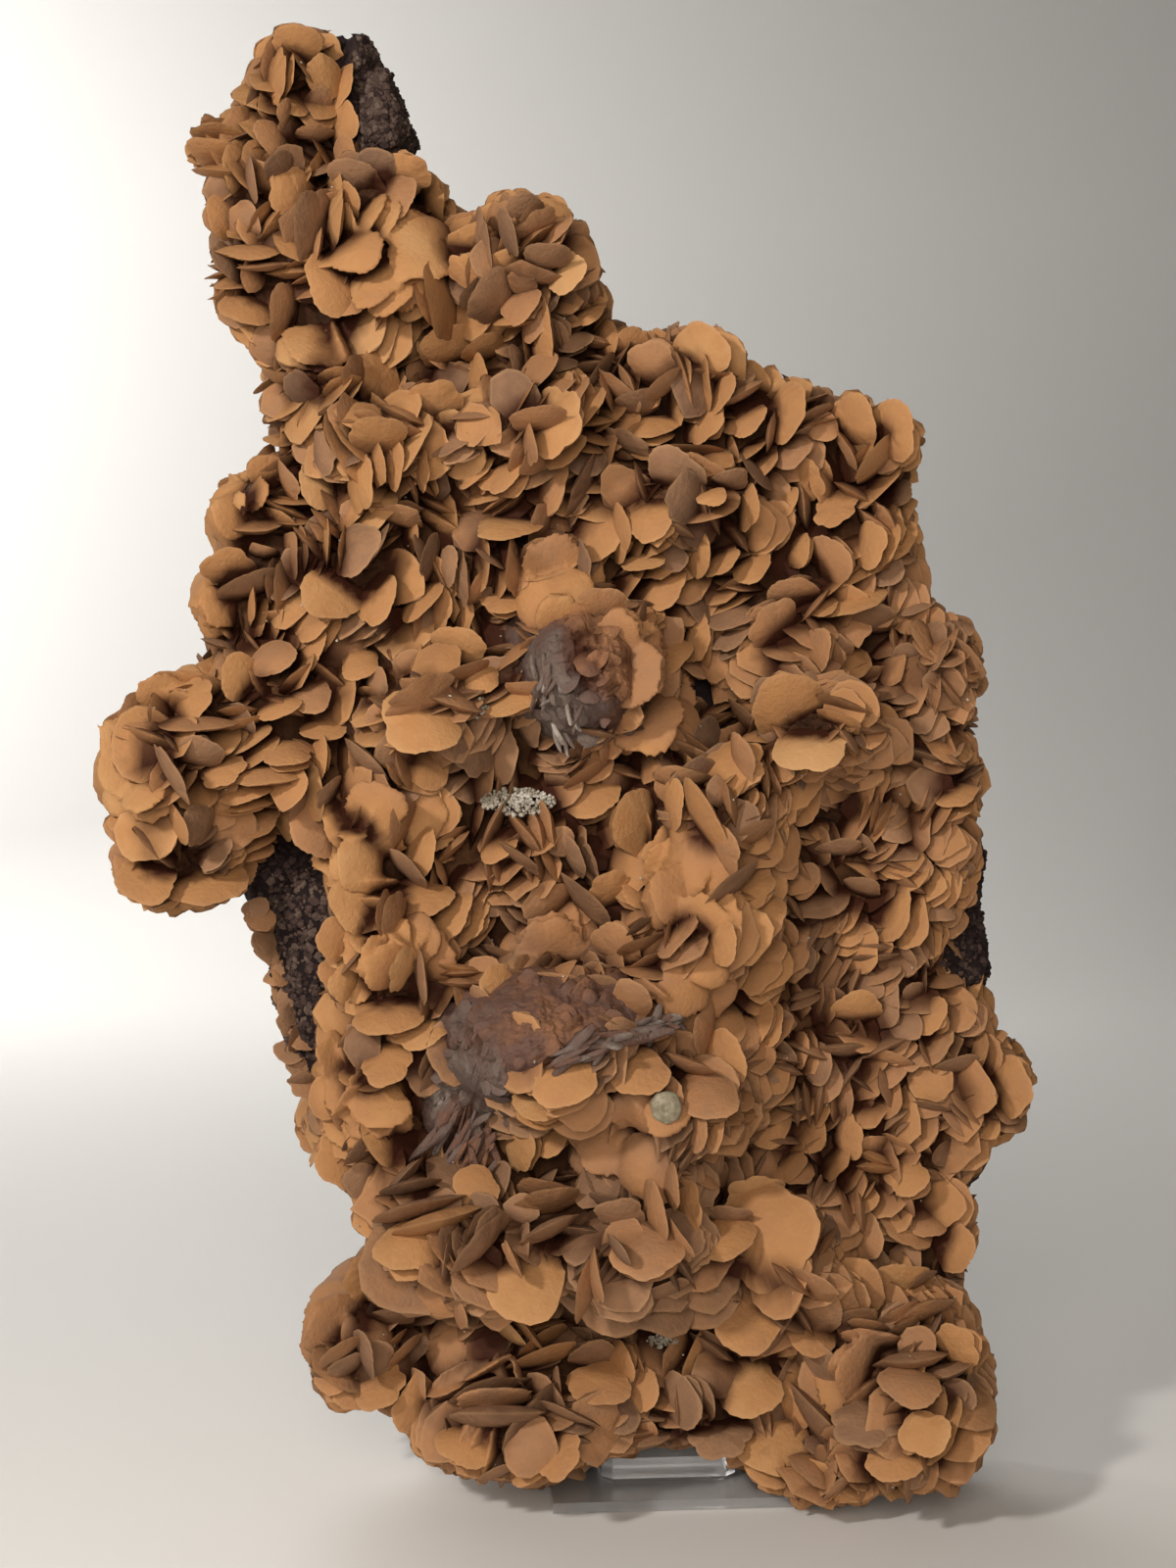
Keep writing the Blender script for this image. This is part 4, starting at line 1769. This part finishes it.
# %% Small crystals on the rock and quartz
EDGE_CRYSTALS = (
    (264, 940, 13, 170), (270, 955, 12, 200), (282, 974, 15, 150), (287, 990, 11, 180),
    (280, 1000, 11, 230), (292, 1018, 13, 190), (300, 1030, 10, 160), (298, 1048, 14, 200),
    (306, 1062, 12, 180), (300, 1078, 15, 210), (312, 1090, 13, 190), (306, 1104, 12, 170),
    (276, 930, 10, 140), (258, 928, 11, 200),
)
QUARTZ_SPOTS = (
    (528, 818, 38, 14, 460),
    (690, 1345, 30, 10, 260),
    (724, 1330, 22, 8, 170),
    (676, 1368, 16, 7, 90),
    (490, 722, 9, 12, 26),
    (690, 1038, 16, 6, 30),
    (752, 1085, 8, 16, 20),
)
SPARKS = 420


def edge_crystals():
    """Crystals on the rock's left edge, from (across, down, radius, turn) rows, two for each."""
    skin = BVHTree.FromObject(rock, bpy.context.evaluated_depsgraph_get())
    draw = random.Random(5)
    made = []
    for across, down, radius, turn in EDGE_CRYSTALS:
        point = front_of(skin, across, down) or front_of(lobe_skin, across, down)
        if point is None:
            point = sight(across, down, -16)
        for _ in range(2):
            aside = Vector([draw.uniform(-1.4, 1.4) * MM for _ in range(3)])
            made.append({"middle": point + aside,
                         "facing": facing_of(turn + draw.gauss(0, 40), draw.gauss(45, 16)),
                         "raised": Vector((math.cos(math.radians(turn)), -0.3,
                                           math.sin(math.radians(turn)))),
                         "radius": radius * draw.uniform(1.1, 1.45) * step_at(point),
                         "stain": draw.uniform(0.65, 0.9), "plump": 0.9})
    return made


def quartz():
    """Lumps in the hollows that QUARTZ_SPOTS names, and sparks on the crystals' faces."""
    draw = random.Random(23)
    lumps = []
    for across, down, half_width, half_height, count in QUARTZ_SPOTS:
        for _ in range(count):
            angle, share = draw.uniform(0, math.tau), draw.random() ** 0.6
            point = front_of(lobe_skin, across + half_width * share * math.cos(angle),
                             down + half_height * share * math.sin(angle))
            near = (EYE - point).normalized() * draw.uniform(-0.6, 1.6) * MM
            lumps.append({"middle": point + near, "facing": facing_of(draw.uniform(0, 360), 30),
                          "radius": draw.triangular(0.15, 0.8, 0.3) * MM,
                          "stain": draw.random(), "plump": 5.0})
    raised = [disc for disc in scattered if "raised" in disc]
    for disc in draw.sample(raised, SPARKS):
        lift = disc["raised"] * disc["radius"] * draw.uniform(0.3, 0.9)
        lift += disc["facing"] * disc["radius"] * 0.07
        lumps.append({"middle": disc["middle"] + lift, "facing": disc["facing"],
                      "radius": draw.uniform(0.15, 0.4) * MM, "stain": draw.random(), "plump": 4.0})
    return lumps


quartz_finish = mineral_finish("quartz", (
    (0.3, (0.20, 0.16, 0.11)), (0.5, (0.36, 0.33, 0.27)), (0.7, (0.62, 0.60, 0.54))),
    scales=(260, 1200), relief=0.0002, roughness=0.35)
small_pieces = [
    set_crystals("crystals_on_rock", edge_crystals(), small_shapes, siderite, 61),
    set_crystals("quartz", quartz(), grain_shapes, quartz_finish, 62),
]

# %% [markdown]
# One grey-green growth right of the lower scar is round, with a raised edge, like a broken
# bubble. It is turned like a pot: a short profile goes round in steps, and a little noise makes
# every step uneven. It is set on the skin and looks at the viewer.

# %% The ring
RING_PLACE = (680, 1130)
RING_LIFT = 4.8 * MM
RING_PROFILE = (
    (0.0, 0.1), (0.7, 0.1), (1.0, 0.7), (1.6, 0.75), (2.0, 0.25), (2.8, 0.1), (3.4, -0.4),
    (3.4, -1.6), (0.0, -1.6),
)
RING_SIDES = 36


def ring(finish):
    """A round lump turned from the (distance from its middle, height) profile in millimetres."""
    bm = bmesh.new()
    loops = []
    for far, high in RING_PROFILE:
        loop = []
        for side in range(RING_SIDES if far else 1):
            angle = math.tau * side / RING_SIDES
            uneven = 1 + 0.12 * noise.noise((math.cos(angle) * 2, math.sin(angle) * 2, far * 0.4))
            x, y = far * uneven * math.cos(angle), far * uneven * math.sin(angle)
            loop.append(bm.verts.new(Vector((x, y, high)) * MM))
        loops.append(loop)
    fan(bm, loops[0], loops[1], 1)
    for near, far in zip(loops[1:-1], loops[2:-1]):
        band(bm, near, far, 1)
    fan(bm, loops[-1], loops[-2], -1)
    bmesh.ops.recalc_face_normals(bm, faces=bm.faces[:])
    point = front_of(lobe_skin, *RING_PLACE)
    out = (EYE - point).normalized()
    turned = out.to_track_quat("Z", "Y").to_matrix().to_4x4()
    bm.transform(Matrix.Translation(point + out * RING_LIFT) @ turned)
    for face in bm.faces:
        face.smooth = True
    made = object_of("ring", bm)
    made.data.materials.append(finish)
    return made


ring_finish = mineral_finish("ring_mineral", (
    (0.3, (0.13, 0.115, 0.075)), (0.5, (0.22, 0.19, 0.13)), (0.7, (0.34, 0.30, 0.22))),
    scales=(500, 1400), relief=0.0002, roughness=0.5)
small_pieces.append(ring(ring_finish))
print("ring", len(small_pieces[-1].data.polygons), "faces")

# %% [markdown]
# The stand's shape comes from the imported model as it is, and only its finish is new: acrylic lets
# light through, bends it a little and reflects the room. Plain transmission does that. A small
# share of plain white stays in it, because scratched and dusty acrylic looks slightly milky.

# %% The clear stand
def clear_finish(name):
    """Clear acrylic: light passes through it and bends."""
    made, tree, shader = new_material(name)
    shader.inputs["Base Color"].default_value = (0.93, 0.93, 0.94, 1)
    shader.inputs["Roughness"].default_value = 0.1
    shader.inputs["IOR"].default_value = 1.49
    shader.inputs["Transmission Weight"].default_value = 0.8
    return made


stand = frame["nodes"]["display_stand"]
acrylic = clear_finish("clear_acrylic")
if stand.data.materials:
    stand.material_slots[0].material = acrylic
else:
    stand.data.materials.append(acrylic)
print("stand:", acrylic.name)

# %% [markdown]
# The stage is a pale floor that sweeps up into a wall, so that no line runs behind the specimen.
# It is declared as stage, so it isn't part of the model.

# %% The stage
FLOOR_GAP = 0.2 * MM


def plain_finish(name, colour, roughness):
    """A finish of one colour."""
    made, tree, shader = new_material(name)
    shader.inputs["Base Color"].default_value = (*colour, 1)
    shader.inputs["Roughness"].default_value = roughness
    return made


def plain_stage():
    """A wide pale floor that sweeps up into a wall far behind."""
    bm = bmesh.new()
    line = [(y, 0.0) for y in (-3.0, -1.0, 0.0, 1.0)]
    for turn in range(1, 9):
        angle = math.radians(turn * 90 / 8)
        line.append((1.0 + 0.8 * math.sin(angle), 0.8 - 0.8 * math.cos(angle)))
    line.append((1.8, 3.5))
    rows = [[bm.verts.new((x, y, z)) for x in (-4, 4)] for y, z in line]
    for low, high in zip(rows, rows[1:]):
        bm.faces.new((low[0], low[1], high[1], high[0]))
    for face in bm.faces:
        face.smooth = True
    made = object_of("floor", bm)
    for vertex in made.data.vertices:
        vertex.co.z -= FLOOR_GAP
    made.data.materials.append(plain_finish("floor_finish", (0.82, 0.81, 0.79), 0.6))


plain_stage()

# %% [markdown]
# A small hard light from the upper left makes the crystals' rims and shadows. A soft one behind
# the camera opens the shadows, a weak one lights the specimen from behind, and one washes the
# wall. The camera stands at the eye that the places were measured from, level with the middle of
# the specimen, and its lens shows exactly the height of that view.

# %% The light and the camera
def area_light(name, place, aim, size, power, colour):
    """A round lamp at a place, turned towards its aim. Its size is in metres, its power in watts."""
    lamp = bpy.data.lights.new(name, "AREA")
    lamp.shape = "DISK"
    lamp.size = size
    lamp.energy = power
    lamp.color = colour
    made = bpy.data.objects.new(name, lamp)
    made.location = place
    made.rotation_euler = (Vector(aim) - Vector(place)).to_track_quat("-Z", "Y").to_euler()
    bpy.context.scene.collection.objects.link(made)


area_light("key", (-0.34, -0.52, 0.38), (0, -0.03, 0.17), 0.055, 2.45, (1.0, 0.94, 0.88))
area_light("fill", (-0.06, -0.8, 0.3), (0, 0, 0.16), 0.4, 3.7, (1.0, 0.90, 0.79))
area_light("back", (-0.5, 1.0, 0.8), (0, 0, 0.16), 1.0, 5.0, (1.0, 0.98, 0.95))
area_light("wall_wash", (-1.3, 0.8, 0.9), (-0.7, 1.8, 0.5), 0.8, 20.0, (1.0, 0.98, 0.95))
world = bpy.data.worlds.new("soft_room")
world.use_nodes = True
world.node_tree.nodes["Background"].inputs["Color"].default_value = (1.0, 0.97, 0.93, 1)
world.node_tree.nodes["Background"].inputs["Strength"].default_value = 0.06
bpy.context.scene.world = world
bpy.context.scene.view_settings.view_transform = "Standard"

lens = bpy.data.cameras.new("camera")
lens.sensor_width = 36
lens.lens = 36 * VIEW_DISTANCE / (VIEW_HEIGHT * VIEW_STEP)
lens.clip_start = 0.01
camera = bpy.data.objects.new("camera", lens)
camera.location = EYE
camera.rotation_euler = (math.radians(90), 0, 0)
bpy.context.scene.collection.objects.link(camera)
bpy.context.scene.camera = camera
print("camera", round(lens.lens), "mm lens,", round(VIEW_DISTANCE, 2), "m away")

# %% [markdown]
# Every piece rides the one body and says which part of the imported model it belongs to. The bed
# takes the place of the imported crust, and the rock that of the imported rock. The others lie over
# them.

# %% Hand the pieces to the frame
for piece in crystal_pieces + scars + stump_pieces + small_pieces:
    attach(piece, "root")
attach(bed, "root")
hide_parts("crystal_crust")
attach(rock, "root")
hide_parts("matrix_rock")
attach(grains, "root")
